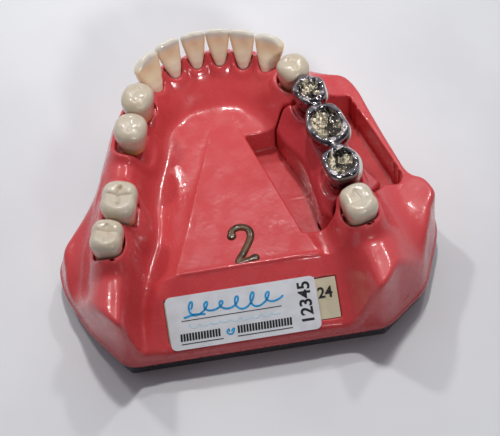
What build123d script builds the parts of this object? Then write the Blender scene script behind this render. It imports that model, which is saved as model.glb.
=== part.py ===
"""Lower-jaw dental demonstration model with a lift-out bridge block.

A cast gum-coloured jaw stands on a dark base plate. Twelve single teeth are
screwed in from below, one of them loosely enough to pull out. On the right a
separate block stands in a pit on two dowels and carries two stumps with a
three-unit bridge, and both the block and the bridge lift off.

Lengths are in millimetres. While the pieces are made, X = 0 is the midline of
the dental arch, Y = 0 the biting edge of the front teeth with +Y forwards, and
Z = 0 the table. At the end everything moves to the middle of the base outline.
"""
import os
from math import atan2, cos, degrees, exp, hypot, pi, radians, sin

from build123d import *

# Heights above the table
PLATE_THICKNESS = 4.2
SHADOW_GAP = 0.8
RIM_BOTTOM = PLATE_THICKNESS + SHADOW_GAP
PIT_FLOOR = 9.5
PLATEAU_HEIGHT = 17.0
FRONT_GUM_HEIGHT = 22.5
BACK_GUM_HEIGHT = 24.5
BITE_HEIGHT = 31.0

# Plan outline of the base, walked clockwise from the front midline
FRONT_REACH = 5.5
REAR_REACH = 71.2
LEFT_REACH = 42.4
RIGHT_REACH = 46.8
OUTLINE_ROUND = 3.0
PLATE_INSET = 1.5
PLATE_CHAMFER = 1.2
LAND_INSET = 3.0

# Relief of the casting
RIDGE_HALF_WIDTH = 2.8
LINGUAL_SLOPE_WIDTH = 5.5
BUCCAL_SLOPE_WIDTH = 7.0
REAR_RIDGE_Y = -56.0
REAR_SLOPE = radians(30)
LEFT_EDGE_HEIGHT = 14.5
RIGHT_EDGE_HEIGHT = 18.0
SURFACE_STEP = 2.5

# Pit and block
GLUE_GAP = 0.02
DOWEL_RADIUS = 1.5
DOWEL_FIT = 0.05
DOWEL_SEAT_DEPTH = 7.0
BUSH_WALL = 1.1
BUSH_COVER = 0.5
BUSH_LENGTH = PIT_FLOOR - RIM_BOTTOM - BUSH_COVER
DOWEL_REACH = BUSH_LENGTH - 0.4
MAGNET_RADIUS = 3.0
MAGNET_THICKNESS = 2.0
MAGNET_SINK = 0.1

# Teeth
SEAT_DEPTH = 3.0
SEAT_CLEARANCE = 0.12
LOOSE_CLEARANCE = 0.35
STEM_RADIUS = 1.9
STEM_FIT = 0.05
STEM_BOTTOM = 12.0
TOOTH_SCREW_RADIUS = 0.8
TOOTH_SCREW_DEPTH = 5.0
TOOTH_SCREW_HEAD_RADIUS = 1.5
TOOTH_SCREW_HEAD_HEIGHT = 1.4
TOOTH_SCREW_SINK = 2.2

# Bridge
STUMP_TAPER = 5.0
STUMP_TOP_GAP = 2.4
STUMP_MARGIN = 25.2
CEMENT_GAP = 0.1
FACING_ANGLE = 12.0
FACING_DEPTH = 1.1
PONTIC_LIFT = 0.8

# Base fastening
BASE_SCREW_RADIUS = 1.5
BASE_SCREW_HEAD_RADIUS = 2.9
BASE_SCREW_HEAD_HEIGHT = 1.7
BASE_SCREW_CLEARANCE = 0.2
INSERT_RADIUS = 2.4
INSERT_LENGTH = 5.5
BASE_SCREW_PLACES = [(-2.0, -16.0), (-28.5, -63.0), (30.0, -62.0)]

# Small release notch low in the right rear wall
NOTCH_PLACE = (35.7, -67.1, 9.6)
NOTCH_TURN = 38.25
NOTCH_SIZE = (2.2, 1.6, 0.8)

# Label and number
LABEL_WIDTH = 39.4
LABEL_HEIGHT = 9.6
LABEL_THICKNESS = 1.0
LABEL_SINK = 0.4
LABEL_CENTRE_X = 0.5
LABEL_DOWN_SLOPE = 10.1
STICKER_WIDTH = 34.2
STICKER_HEIGHT = 12.1
STICKER_THICKNESS = 0.15
STICKER_CORNER = 1.3
STICKER_CENTRE_X = -1.7
STICKER_DOWN_SLOPE = 10.6
NUMBER_STROKE = 1.45
NUMBER_HEIGHT = 9.4
NUMBER_WIDTH = 5.0
NUMBER_RISE = 0.5
NUMBER_SINK = 0.8
NUMBER_CENTRE = (1.2, -50.4)

BASE_OUTLINE = [
    (0.0, FRONT_REACH), (10.0, FRONT_REACH - 1.0), (18.5, FRONT_REACH - 5.0), (26.0, -6.0),
    (31.5, -7.5), (34.2, -12.0), (37.0, -23.5), (41.3, -38.5), (RIGHT_REACH - 2.0, -40.0),
    (RIGHT_REACH, -44.5), (RIGHT_REACH - 0.4, -49.0), (40.9, -63.0), (30.5, -REAR_REACH),
    (-29.5, -REAR_REACH), (-37.3, -60.3), (-LEFT_REACH + 0.6, -49.5), (-LEFT_REACH, -42.0),
    (-33.5, -30.0), (-30.5, -21.0), (-27.5, -12.0), (-19.0, -0.5), (-10.0, FRONT_REACH - 1.0)]

RIDGE_LINE = [(0.0, -0.9), (8.3, -2.7), (14.0, -6.8), (18.3, -14.0), (21.2, -21.8),
              (23.9, -30.8), (25.6, -41.4), (28.0, -51.0), (30.5, -72.0)]

LEFT_GROOVE = [(-16.0, -18.0), (-19.6, -34.0), (-23.2, -49.0), (-26.0, -61.0), (-28.0, -73.0)]
RIGHT_GROOVE = [(21.5, -50.0), (24.8, -61.0), (28.6, -73.0)]

PIT_OUTLINE = [(5.5, -20.8), (12.5, -20.4), (15.3, -17.2), (17.0, -18.4), (23.2, -15.7),
               (31.6, -14.6), (39.8, -38.9), (38.6, -41.3), (35.2, -41.3), (31.0, -46.1),
               (23.0, -46.3), (22.2, -49.4), (14.6, -49.6)]

BLOCK_LINGUAL = [(12.9, -20.8), (14.2, -24.8), (17.2, -31.5), (18.4, -38.6), (19.4, -45.5),
                 (21.7, -49.0)]
BLOCK_BUCCAL = [(34.4, -41.0), (31.6, -38.0), (29.0, -32.0), (27.6, -26.0), (26.2, -20.0),
                (25.0, -16.0)]
BLOCK_FRONT = [(23.4, -16.0), (17.0, -18.8), (15.3, -17.7)]
BLOCK_REAR = [(22.6, -45.9), (30.8, -45.7)]
DOWEL_PLACES = [(17.8, -25.4), (21.6, -44.0)]
MAGNET_PLACE = (23.0, -30.5)

# name, x, y, turn about Z, width along the arch, depth across it
TEETH = [
    ("left_central_incisor", -2.8, -0.8, 4, 5.5, 4.4),
    ("right_central_incisor", 2.7, -0.9, -4, 5.4, 4.4),
    ("left_lateral_incisor", -8.3, -2.5, 20, 5.8, 4.8),
    ("right_lateral_incisor", 8.1, -2.6, -16, 5.7, 4.8),
    ("left_canine", -13.7, -6.7, 40, 7.2, 5.4),
    ("right_canine", 13.7, -5.7, -30, 7.0, 5.2),
    ("left_first_premolar", -17.9, -14.1, 66, 7.9, 7.2),
    ("right_first_premolar", 18.9, -12.2, -62, 7.2, 7.2),
    ("left_second_premolar", -20.5, -22.4, 74, 8.0, 7.6),
    ("left_second_molar", -25.3, -41.2, 76, 9.4, 8.2),
    ("left_third_molar", -29.1, -50.3, 74, 8.2, 7.3),
    ("right_third_molar", 27.3, -51.3, -74, 8.8, 7.6)]
FRONT_TEETH = ("incisor", "canine")
LOOSE_TOOTH = "left_second_premolar"

# name, x, y, turn about Z, width along the arch, depth across it
BRIDGE_UNITS = [
    ("premolar", 21.5, -20.5, -72, 7.4, 7.6),
    ("pontic", 23.7, -30.8, -74, 11.6, 9.2),
    ("molar", 25.1, -41.6, -77, 9.0, 8.2)]


def smooth(value):
    """Ease from 0 to 1."""
    t = min(1.0, max(0.0, value))
    return t * t * (3 - 2 * t)


def distance_to_line(x, y, points):
    """Shortest distance to a polyline, its side sign and how far along it lies."""
    best, side, along, run = 1e9, 1.0, 0.0, 0.0
    for (ax, ay), (bx, by) in zip(points, points[1:]):
        dx, dy = bx - ax, by - ay
        length = hypot(dx, dy)
        t = min(1.0, max(0.0, ((x - ax) * dx + (y - ay) * dy) / length ** 2))
        gap = hypot(x - ax - t * dx, y - ay - t * dy)
        if gap < best:
            best, along = gap, run + t * length
            side = 1.0 if dx * (y - ay) - dy * (x - ax) > 0 else -1.0
        run += length
    return best, side, along


def middle_height(x, y):
    """Height of the tongue plateau, its rear slope and the grooves beside it."""
    height = PLATEAU_HEIGHT - max(0.0, REAR_RIDGE_Y - y) * sin(REAR_SLOPE) / cos(REAR_SLOPE)
    edge = abs(x - 1.0) - 0.36 * max(0.0, -10.0 - y)
    height -= 0.1 * max(0.0, edge) if y > REAR_RIDGE_Y else 0.0
    for line in (LEFT_GROOVE, RIGHT_GROOVE):
        gap, _, along = distance_to_line(x, y, line)
        height -= 3.0 * smooth(along / 45.0) * exp(-(gap / 2.2) ** 2)
    return height


def edge_height(x, y):
    """Height of the casting's outer edge, which dips at both rear corners."""
    height = LEFT_EDGE_HEIGHT + (RIGHT_EDGE_HEIGHT - LEFT_EDGE_HEIGHT) * smooth(0.5 + x / 60.0)
    height -= 6.0 * exp(-((x + 38.0) / 8.0) ** 2 - ((y + 58.0) / 10.0) ** 2)
    height -= 7.0 * exp(-((x - 41.0) / 7.0) ** 2 - ((y + 66.0) / 8.0) ** 2)
    return height


def gum_height(x, y):
    """Height of the gum surface: a horseshoe ridge with the middle inside it."""
    gap, side, along = distance_to_line(abs(x), y, RIDGE_LINE)
    crest = FRONT_GUM_HEIGHT + (BACK_GUM_HEIGHT - FRONT_GUM_HEIGHT) * smooth((along - 12.0) / 10.0)
    inner = middle_height(x, y)
    if side > 0:
        outer = edge_height(x, y)
        share = smooth((gap - RIDGE_HALF_WIDTH) / BUCCAL_SLOPE_WIDTH)
        return crest + (outer - crest) * share
    share = smooth((gap - RIDGE_HALF_WIDTH) / LINGUAL_SLOPE_WIDTH)
    return crest + (inner - crest) * share


def under_gum():
    """Everything below the sculpted gum surface."""
    columns = int((LEFT_REACH + RIGHT_REACH + 8) / SURFACE_STEP)
    rows = int((FRONT_REACH + REAR_REACH + 8) / SURFACE_STEP)
    grid = []
    for i in range(columns + 1):
        x = -LEFT_REACH - 4 + i * (LEFT_REACH + RIGHT_REACH + 8) / columns
        line = []
        for j in range(rows + 1):
            y = -REAR_REACH - 4 + j * (FRONT_REACH + REAR_REACH + 8) / rows
            line.append(Vector(x, y, gum_height(x, y)))
        grid.append(line)
    skin = Face.make_surface_from_array_of_points(grid, tol=0.15, min_deg=3, max_deg=3)
    return Solid.extrude(skin, Vector(0, 0, -60))


def prism(points, low, high, inset=0.0, corner=0.0, draft=0.0):
    """Upright block over a closed plan outline."""
    face = make_face(Polyline(*points, close=True))
    if corner:
        face = fillet(face.vertices(), corner)
    if inset:
        face = offset(face, -inset, kind=Kind.INTERSECTION)
    return extrude(Pos(0, 0, low) * face, amount=high - low, dir=(0, 0, 1), taper=-draft)


def rod(radius, low, high, x=0.0, y=0.0):
    """Upright round rod between two heights."""
    return Pos(x, y, (low + high) / 2) * Cylinder(radius, high - low)


def countersunk_screw(x, y, base, radius, head_radius, head_height, length):
    """Screw that points up, with a cone head flush at its base height."""
    cone = Pos(x, y, base + head_height / 2) * Cone(head_radius, radius, head_height)
    return cone + rod(radius, base + head_height - 0.01, base + length, x, y)


def placed(x, y, turn, shape):
    """Turn a piece made at the origin and move it to its place on the arch."""
    return Pos(x, y, 0) * Rot(0, 0, turn) * shape


def ring_section(width, depth, height, shift=0.0, power=2.6):
    """Closed rounded outline at one height, as a superellipse."""
    points = []
    for k in range(16):
        a = 2 * pi * k / 16
        u = abs(cos(a)) ** (2 / power) * (1 if cos(a) >= 0 else -1)
        v = abs(sin(a)) ** (2 / power) * (1 if sin(a) >= 0 else -1)
        points.append((width / 2 * u, shift + depth / 2 * v, height))
    return Wire([Spline(*points, periodic=True).edge()])


def stacked(sections):
    """Smooth solid through a list of closed outlines."""
    return Solid.make_loft(sections)


def front_crown(width, depth, low):
    """Incisor or canine: round neck that thins to a wide biting edge."""
    shift = depth * 0.36
    return stacked([
        ring_section(width * 0.62, depth * 0.92, low, 0.0, 2.2),
        ring_section(width * 0.74, depth, low + 3.4, 0.1, 2.3),
        ring_section(width * 0.95, depth * 0.62, low + (BITE_HEIGHT - low) * 0.72, shift * 0.6, 2.6),
        ring_section(width * 0.98, depth * 0.26, BITE_HEIGHT, shift, 3.0)])


def back_crown(width, depth, low, grow=0.0):
    """Premolar or molar: bulging wall and a rounded table."""
    return stacked([
        ring_section(width * 0.84 + grow, depth * 0.84 + grow, low, 0.0, 2.5),
        ring_section(width * 0.99 + grow, depth * 0.99 + grow, low + (BITE_HEIGHT - low) * 0.5, 0.0, 2.7),
        ring_section(width * 0.94 + grow, depth * 0.9 + grow, low + (BITE_HEIGHT - low) * 0.8, 0.0, 2.7),
        ring_section(width * 0.7 + grow, depth * 0.62 + grow, BITE_HEIGHT, 0.0, 2.5)])


def chewing_grooves(width, depth):
    """Cross-shaped fissure sunk in the top of a back crown."""
    long_cut = Pos(0, 0, BITE_HEIGHT + 0.25) * Rot(0, 90, 0) * Cylinder(0.9, width * 0.62)
    short_cut = Pos(0, 0, BITE_HEIGHT + 0.35) * Rot(90, 0, 0) * Cylinder(0.9, depth * 0.5)
    return long_cut + short_cut


def gum_height_at(name):
    """Gum height round the neck of a tooth."""
    if any(word in name for word in FRONT_TEETH):
        return FRONT_GUM_HEIGHT
    return BACK_GUM_HEIGHT


def tooth(name, width, depth):
    """One tooth: crown, straight stem and the hole for its screw."""
    low = gum_height_at(name) - SEAT_DEPTH
    if any(word in name for word in FRONT_TEETH):
        crown = front_crown(width, depth, low)
    else:
        crown = back_crown(width, depth, low) - chewing_grooves(width, depth)
    stem = rod(STEM_RADIUS, STEM_BOTTOM, low + 0.5)
    hole = rod(TOOTH_SCREW_RADIUS, STEM_BOTTOM - 1, STEM_BOTTOM + TOOTH_SCREW_DEPTH)
    return crown + stem - hole


def socket_cut(name, width, depth):
    """Material the jaw leaves out for one tooth, its stem and its screw."""
    gum = gum_height_at(name)
    gap = LOOSE_CLEARANCE if name == LOOSE_TOOTH else SEAT_CLEARANCE
    low = gum - SEAT_DEPTH
    if any(word in name for word in FRONT_TEETH):
        mouth = prism_of_ring(width * 0.76, depth * 1.02, low - 0.05, gum + 6, gap, 0.1)
    else:
        mouth = prism_of_ring(width, depth, low - 0.05, gum + 6, gap, 0.0)
    stem = rod(STEM_RADIUS + STEM_FIT, STEM_BOTTOM - 0.05, low + 1)
    if name == LOOSE_TOOTH:
        return mouth + stem
    shank = rod(TOOTH_SCREW_RADIUS + STEM_FIT, RIM_BOTTOM - 1, STEM_BOTTOM + 1)
    head = rod(TOOTH_SCREW_HEAD_RADIUS + 2 * STEM_FIT, RIM_BOTTOM - 1,
               RIM_BOTTOM + TOOTH_SCREW_SINK + TOOTH_SCREW_HEAD_HEIGHT)
    return mouth + stem + shank + head


def prism_of_ring(width, depth, low, high, gap, shift):
    """Straight-walled rounded pocket a little larger than a crown."""
    ring = ring_section(width + 2 * gap, depth + 2 * gap, low, shift)
    return Solid.extrude(Face(ring), Vector(0, 0, high - low))


def tooth_screws():
    """Fixing screws of all the cemented-in teeth, as one group."""
    screws = []
    base = RIM_BOTTOM + TOOTH_SCREW_SINK
    for name, x, y, _, _, _ in TEETH:
        if name == LOOSE_TOOTH:
            continue
        head = rod(TOOTH_SCREW_HEAD_RADIUS, base, base + TOOTH_SCREW_HEAD_HEIGHT, x, y)
        drive = rod(TOOTH_SCREW_HEAD_RADIUS * 0.45, base - 1, base + 0.7, x, y)
        shank = rod(TOOTH_SCREW_RADIUS, base + TOOTH_SCREW_HEAD_HEIGHT - 0.1,
                    STEM_BOTTOM + TOOTH_SCREW_DEPTH - 0.3, x, y)
        screws.append(head + shank - drive)
    return Compound(children=screws)


def slope_place(down, x, lift):
    """Plane on the rear slope, a distance down it and a height above it."""
    y = REAR_RIDGE_Y - down * cos(REAR_SLOPE) - lift * sin(REAR_SLOPE)
    z = PLATEAU_HEIGHT - down * sin(REAR_SLOPE) + lift * cos(REAR_SLOPE)
    return Pos(x, y, z) * Rot(degrees(REAR_SLOPE), 0, 0)


def label_plate():
    """Cream name plate let into the rear slope."""
    flat = extrude(Rectangle(LABEL_WIDTH - 0.3, LABEL_HEIGHT - 0.3), amount=LABEL_THICKNESS)
    return slope_place(LABEL_DOWN_SLOPE, LABEL_CENTRE_X, -LABEL_SINK - LABEL_THICKNESS) * flat


def label_recess():
    """Pocket for the name plate."""
    flat = extrude(Rectangle(LABEL_WIDTH, LABEL_HEIGHT), amount=LABEL_THICKNESS + 8)
    return slope_place(LABEL_DOWN_SLOPE, LABEL_CENTRE_X, -LABEL_SINK - LABEL_THICKNESS) * flat


def sticker():
    """Paper sticker that lies over most of the name plate."""
    flat = extrude(RectangleRounded(STICKER_WIDTH, STICKER_HEIGHT, STICKER_CORNER),
                   amount=STICKER_THICKNESS)
    return slope_place(STICKER_DOWN_SLOPE, STICKER_CENTRE_X, 0.12) * flat


def number_shape(low, high):
    """Figure two drawn with one round-ended stroke."""
    half = NUMBER_WIDTH / 2
    arc_y = NUMBER_HEIGHT / 2 - half
    bowl = CenterArc((0, arc_y), half, -35, 200)
    heel = (-half, -NUMBER_HEIGHT / 2)
    path = bowl + Line(bowl @ 0, heel) + Line(heel, (half, -NUMBER_HEIGHT / 2))
    stroke = trace(path.edges(), NUMBER_STROKE)
    for point in (bowl @ 1, bowl @ 0, Vector(*heel), Vector(half, -NUMBER_HEIGHT / 2)):
        stroke += Pos(point.X, point.Y) * Circle(NUMBER_STROKE / 2)
    flat = Pos(NUMBER_CENTRE[0], NUMBER_CENTRE[1], low) * Rot(0, 0, -3) * stroke
    return extrude(flat, amount=high - low, dir=(0, 0, 1))


def block_outline():
    """Closed plan outline of the lift-out block."""
    lingual = Spline(*BLOCK_LINGUAL)
    rear = Polyline(BLOCK_LINGUAL[-1], *BLOCK_REAR, BLOCK_BUCCAL[0])
    buccal = Spline(*BLOCK_BUCCAL)
    front = Polyline(BLOCK_BUCCAL[-1], *BLOCK_FRONT, BLOCK_LINGUAL[0])
    return make_face([*lingual.edges(), *rear.edges(), *buccal.edges(), *front.edges()])


def stump(unit, grow=0.0):
    """Prepared stump of a bridge tooth: a tapered core on a round shoulder."""
    _, x, y, turn, width, depth = unit
    top = BITE_HEIGHT - STUMP_TOP_GAP + grow
    core = stacked([
        ring_section(width * 0.74 + 2 * grow, depth * 0.72 + 2 * grow, STUMP_MARGIN),
        ring_section(width * 0.56 + 2 * grow, depth * 0.54 + 2 * grow, top)])
    return placed(x, y, turn, core)


def stump_with_root(unit):
    """Stump with the straight root that sits in the block."""
    _, x, y, turn, width, depth = unit
    low = BACK_GUM_HEIGHT - SEAT_DEPTH
    root = Solid.extrude(Face(ring_section(width * 0.8, depth * 0.8, low)),
                         Vector(0, 0, STUMP_MARGIN - low))
    return stump(unit) + placed(x, y, turn, root)


def unit_shell(unit, low):
    """Outer shape of one bridge unit."""
    _, x, y, turn, width, depth = unit
    return placed(x, y, turn, back_crown(width, depth, low))


def facing_side(unit):
    """Half space on the cheek side of a unit, leaning with its wall."""
    _, x, y, turn, width, depth = unit
    slab = Pos(0, depth / 2 - FACING_DEPTH + 5, 26.5) * Box(width * 0.86, 10, 7.6)
    lean = Pos(0, 0, BITE_HEIGHT) * Rot(-FACING_ANGLE, 0, 0) * Pos(0, 0, -BITE_HEIGHT)
    return placed(x, y, turn, lean * slab)


def bridge():
    """Metal framework and the facing of each unit."""
    framework = None
    facings = {}
    centres = []
    for unit in BRIDGE_UNITS:
        low = BACK_GUM_HEIGHT + PONTIC_LIFT
        shell = unit_shell(unit, low)
        facings[unit[0]] = shell & facing_side(unit)
        body = shell - facing_side(unit)
        body -= placed(unit[1], unit[2], unit[3], chewing_grooves(unit[4], unit[5]))
        framework = body if framework is None else framework + body
        centres.append((unit[1], unit[2]))
    for (ax, ay), (bx, by) in zip(centres, centres[1:]):
        turn = degrees(atan2(by - ay, bx - ax))
        bar = Pos((ax + bx) / 2, (ay + by) / 2, BITE_HEIGHT - 2.6) * Rot(0, 0, turn)
        bar = bar * Rot(0, 90, 0) * Cylinder(1.35, 4.0)
        framework += bar
    for unit in (BRIDGE_UNITS[0], BRIDGE_UNITS[2]):
        hollow = stump(unit, CEMENT_GAP)
        framework -= hollow
        facings[unit[0]] -= hollow
    for facing in facings.values():
        framework -= facing
    return framework, facings


def base_plate(outline):
    """Dark plate under the casting, with a raised land and countersunk holes."""
    plate = prism(outline, 0, PLATE_THICKNESS, PLATE_INSET, OUTLINE_ROUND)
    top = plate.faces().sort_by(Axis.Z)[-1]
    plate = chamfer(top.edges(), PLATE_CHAMFER)
    plate += prism(outline, PLATE_THICKNESS - 0.5, RIM_BOTTOM, LAND_INSET, OUTLINE_ROUND)
    for x, y in BASE_SCREW_PLACES:
        plate -= rod(BASE_SCREW_RADIUS + BASE_SCREW_CLEARANCE, -1, RIM_BOTTOM + 1, x, y)
        sink = Cone(BASE_SCREW_HEAD_RADIUS + BASE_SCREW_CLEARANCE,
                    BASE_SCREW_RADIUS + BASE_SCREW_CLEARANCE, BASE_SCREW_HEAD_HEIGHT)
        plate -= Pos(x, y, BASE_SCREW_HEAD_HEIGHT / 2 + 0.2) * sink
        plate -= rod(BASE_SCREW_HEAD_RADIUS + BASE_SCREW_CLEARANCE, -1, 0.21, x, y)
    return plate


def base_screws():
    """The countersunk screws that hold the base plate."""
    length = PLATE_THICKNESS + INSERT_LENGTH - 1.0
    return Compound(children=[
        countersunk_screw(x, y, 0.25, BASE_SCREW_RADIUS, BASE_SCREW_HEAD_RADIUS,
                          BASE_SCREW_HEAD_HEIGHT, length)
        for x, y in BASE_SCREW_PLACES])


def thread_inserts():
    """Brass inserts in the casting for the base screws."""
    inserts = []
    for x, y in BASE_SCREW_PLACES:
        body = rod(INSERT_RADIUS, RIM_BOTTOM, RIM_BOTTOM + INSERT_LENGTH, x, y)
        bore = rod(BASE_SCREW_RADIUS + GLUE_GAP, RIM_BOTTOM - 1, RIM_BOTTOM + INSERT_LENGTH + 1, x, y)
        inserts.append(body - bore)
    return Compound(children=inserts)


def dowel_bushes():
    """Brass bushes in the pit floor for the block's dowels."""
    bushes = []
    for x, y in DOWEL_PLACES:
        body = rod(DOWEL_RADIUS + DOWEL_FIT + BUSH_WALL, PIT_FLOOR - BUSH_LENGTH, PIT_FLOOR, x, y)
        bushes.append(body - rod(DOWEL_RADIUS + DOWEL_FIT, 0, PIT_FLOOR + 1, x, y))
    return Compound(children=bushes)


def dowel_pins():
    """Steel dowels fixed in the block."""
    return Compound(children=[
        rod(DOWEL_RADIUS, PIT_FLOOR - DOWEL_REACH, PIT_FLOOR + DOWEL_SEAT_DEPTH, x, y)
        for x, y in DOWEL_PLACES])


def jaw_base(outline, gum):
    """Cast jaw with sockets, pit, label pocket, number groove and screw holes."""
    jaw = prism(outline, RIM_BOTTOM, 45, 0, OUTLINE_ROUND) & gum
    jaw -= prism(PIT_OUTLINE, PIT_FLOOR, 45)
    jaw -= label_recess()
    jaw -= Pos(*NOTCH_PLACE) * Rot(0, 0, NOTCH_TURN) * Box(*NOTCH_SIZE)
    jaw -= number_shape(PLATEAU_HEIGHT - NUMBER_SINK, PLATEAU_HEIGHT + 3)
    for name, x, y, turn, width, depth in TEETH:
        jaw -= placed(x, y, turn, socket_cut(name, width, depth))
    for x, y in BASE_SCREW_PLACES:
        jaw -= rod(INSERT_RADIUS + GLUE_GAP, 0, RIM_BOTTOM + INSERT_LENGTH, x, y)
    bush = DOWEL_RADIUS + DOWEL_FIT + BUSH_WALL + GLUE_GAP
    for x, y in DOWEL_PLACES:
        jaw -= rod(bush, PIT_FLOOR - BUSH_LENGTH, PIT_FLOOR + 1, x, y)
    jaw -= rod(MAGNET_RADIUS + GLUE_GAP, PIT_FLOOR - MAGNET_SINK - MAGNET_THICKNESS,
               PIT_FLOOR + 1, *MAGNET_PLACE)
    return jaw


def bridge_block(gum):
    """Lift-out block with stump sockets, dowel holes and a magnet pocket."""
    block = extrude(Pos(0, 0, PIT_FLOOR) * block_outline(), amount=30, dir=(0, 0, 1)) & gum
    for unit in (BRIDGE_UNITS[0], BRIDGE_UNITS[2]):
        block -= stump_with_root(unit)
    for x, y in DOWEL_PLACES:
        block -= rod(DOWEL_RADIUS + GLUE_GAP, PIT_FLOOR - 1, PIT_FLOOR + DOWEL_SEAT_DEPTH, x, y)
    block -= rod(MAGNET_RADIUS + GLUE_GAP, PIT_FLOOR - 1,
                 PIT_FLOOR + MAGNET_SINK + MAGNET_THICKNESS, *MAGNET_PLACE)
    return block


def all_pieces():
    """Every sub-part by node name, in the arch's own coordinates."""
    gum = under_gum()
    framework, facings = bridge()
    pieces = {
        "jaw_base": jaw_base(BASE_OUTLINE, gum),
        "base_plate": base_plate(BASE_OUTLINE),
        "base_screws": base_screws(),
        "thread_inserts": thread_inserts(),
        "tooth_screws": tooth_screws(),
        "dowel_bushes": dowel_bushes(),
        "keeper_disc": rod(MAGNET_RADIUS, PIT_FLOOR - MAGNET_SINK - MAGNET_THICKNESS,
                           PIT_FLOOR - MAGNET_SINK, *MAGNET_PLACE),
        "label_plate": label_plate(),
        "sticker": sticker(),
        "number_inlay": number_shape(PLATEAU_HEIGHT - NUMBER_SINK, PLATEAU_HEIGHT + NUMBER_RISE),
        "bridge_block": bridge_block(gum),
        "block_dowels": dowel_pins(),
        "block_magnet": rod(MAGNET_RADIUS, PIT_FLOOR + MAGNET_SINK,
                            PIT_FLOOR + MAGNET_SINK + MAGNET_THICKNESS, *MAGNET_PLACE),
        "premolar_stump": stump_with_root(BRIDGE_UNITS[0]),
        "molar_stump": stump_with_root(BRIDGE_UNITS[2]),
        "bridge_framework": framework}
    for name, facing in facings.items():
        pieces[name + "_facing"] = facing
    for name, x, y, turn, width, depth in TEETH:
        pieces[name] = placed(x, y, turn, tooth(name, width, depth))
    return pieces


def main():
    """Build each piece and write it, centred on the base outline."""
    os.makedirs("parts", exist_ok=True)
    xs = [point[0] for point in BASE_OUTLINE]
    ys = [point[1] for point in BASE_OUTLINE]
    centre = Pos(-(min(xs) + max(xs)) / 2, -(min(ys) + max(ys)) / 2, 0)
    for name, piece in all_pieces().items():
        export_step(centre * piece, f"parts/{name}.step")


main()
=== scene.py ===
"""Looks for a dental demonstration jaw with a lift-out bridge block.

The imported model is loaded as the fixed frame. Each visible piece is then sculpted as a
solid in millimetres on the arch (X = 0 the midline, Y = 0 the biting edge of the front
teeth, Z = 0 the table) and moved into the shared frame in metres.
"""
import logging
from dataclasses import dataclass, field
from enum import Enum
from math import cos, hypot, pi, radians, sin
from typing import Callable

import bpy
import numpy as np
from mathutils import Matrix, Vector


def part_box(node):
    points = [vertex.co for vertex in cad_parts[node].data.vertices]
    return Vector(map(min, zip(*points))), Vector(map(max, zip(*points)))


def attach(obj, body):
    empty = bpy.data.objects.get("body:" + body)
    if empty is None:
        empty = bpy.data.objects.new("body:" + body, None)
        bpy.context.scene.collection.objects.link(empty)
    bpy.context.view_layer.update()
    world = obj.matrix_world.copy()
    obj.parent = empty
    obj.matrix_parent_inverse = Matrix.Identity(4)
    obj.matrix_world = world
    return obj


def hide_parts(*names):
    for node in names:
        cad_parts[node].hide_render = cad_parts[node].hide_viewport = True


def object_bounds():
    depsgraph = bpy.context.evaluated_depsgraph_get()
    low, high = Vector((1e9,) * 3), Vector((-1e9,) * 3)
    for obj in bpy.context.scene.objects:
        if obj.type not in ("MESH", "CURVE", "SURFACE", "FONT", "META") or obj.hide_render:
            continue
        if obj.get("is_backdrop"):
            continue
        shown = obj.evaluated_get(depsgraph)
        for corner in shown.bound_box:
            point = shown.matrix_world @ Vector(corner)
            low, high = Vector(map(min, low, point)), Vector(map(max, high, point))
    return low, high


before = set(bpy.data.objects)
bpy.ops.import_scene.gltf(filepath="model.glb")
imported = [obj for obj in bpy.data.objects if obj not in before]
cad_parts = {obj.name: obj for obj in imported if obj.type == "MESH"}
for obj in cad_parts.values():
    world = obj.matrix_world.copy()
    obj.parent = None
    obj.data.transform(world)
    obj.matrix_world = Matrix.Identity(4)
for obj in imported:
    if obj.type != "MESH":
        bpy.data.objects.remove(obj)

Array = np.ndarray
Point2 = tuple[float, float]
Field = Callable[[Array, Array, Array], Array]
MM = 0.001
LOOSE_TOOTH = "left_second_premolar"
PLATEAU = 17.0
REAR_SLOPE = radians(30)
PIT_FLOOR = 9.5
GUM_CEILING = 26.5
TINY = 0.02
log = logging.getLogger("jaw")


# ---------------------------------------------------------------- shaping helpers

def ease(value: Array) -> Array:
    """Ease from 0 to 1."""
    t = np.clip(value, 0.0, 1.0)
    return t * t * (3 - 2 * t)


def bell(value: Array) -> Array:
    """A bump of height 1 that dies away at about twice its unit width."""
    return np.exp(-value * value)


def soft_min(a: Array, b: Array, blend: float) -> Array:
    """Smaller of two values, rounded where they meet.

    Args:
        a: First values.
        b: Second values.
        blend: How wide the rounding is.

    Returns:
        The blended smaller value.
    """
    h = np.maximum(blend - np.abs(a - b), 0.0) / blend
    return np.minimum(a, b) - h * h * blend / 4


def soft_max(a: Array, b: Array, blend: float) -> Array:
    """Larger of two values, rounded where they meet."""
    return -soft_min(-a, -b, blend)


def to_line(x: Array, y: Array, points: list[Point2]) -> tuple[Array, Array, Array]:
    """Distance to a polyline in plan.

    Args:
        x: Plan X of each place.
        y: Plan Y of each place.
        points: Corners of the line.

    Returns:
        The distance, the side of the line (1 or -1) and how far along it lies.
    """
    best = np.full(np.broadcast(x, y).shape, 1e9)
    side, along, run = np.ones_like(best), np.zeros_like(best), 0.0
    for (ax, ay), (bx, by) in zip(points, points[1:]):
        dx, dy = bx - ax, by - ay
        length = hypot(dx, dy)
        t = np.clip(((x - ax) * dx + (y - ay) * dy) / length ** 2, 0, 1)
        gap = np.hypot(x - ax - t * dx, y - ay - t * dy)
        near = gap < best
        best = np.where(near, gap, best)
        along = np.where(near, run + t * length, along)
        side = np.where(near, np.where(dx * (y - ay) - dy * (x - ax) > 0, 1.0, -1.0), side)
        run += length
    return best, side, along


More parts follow.
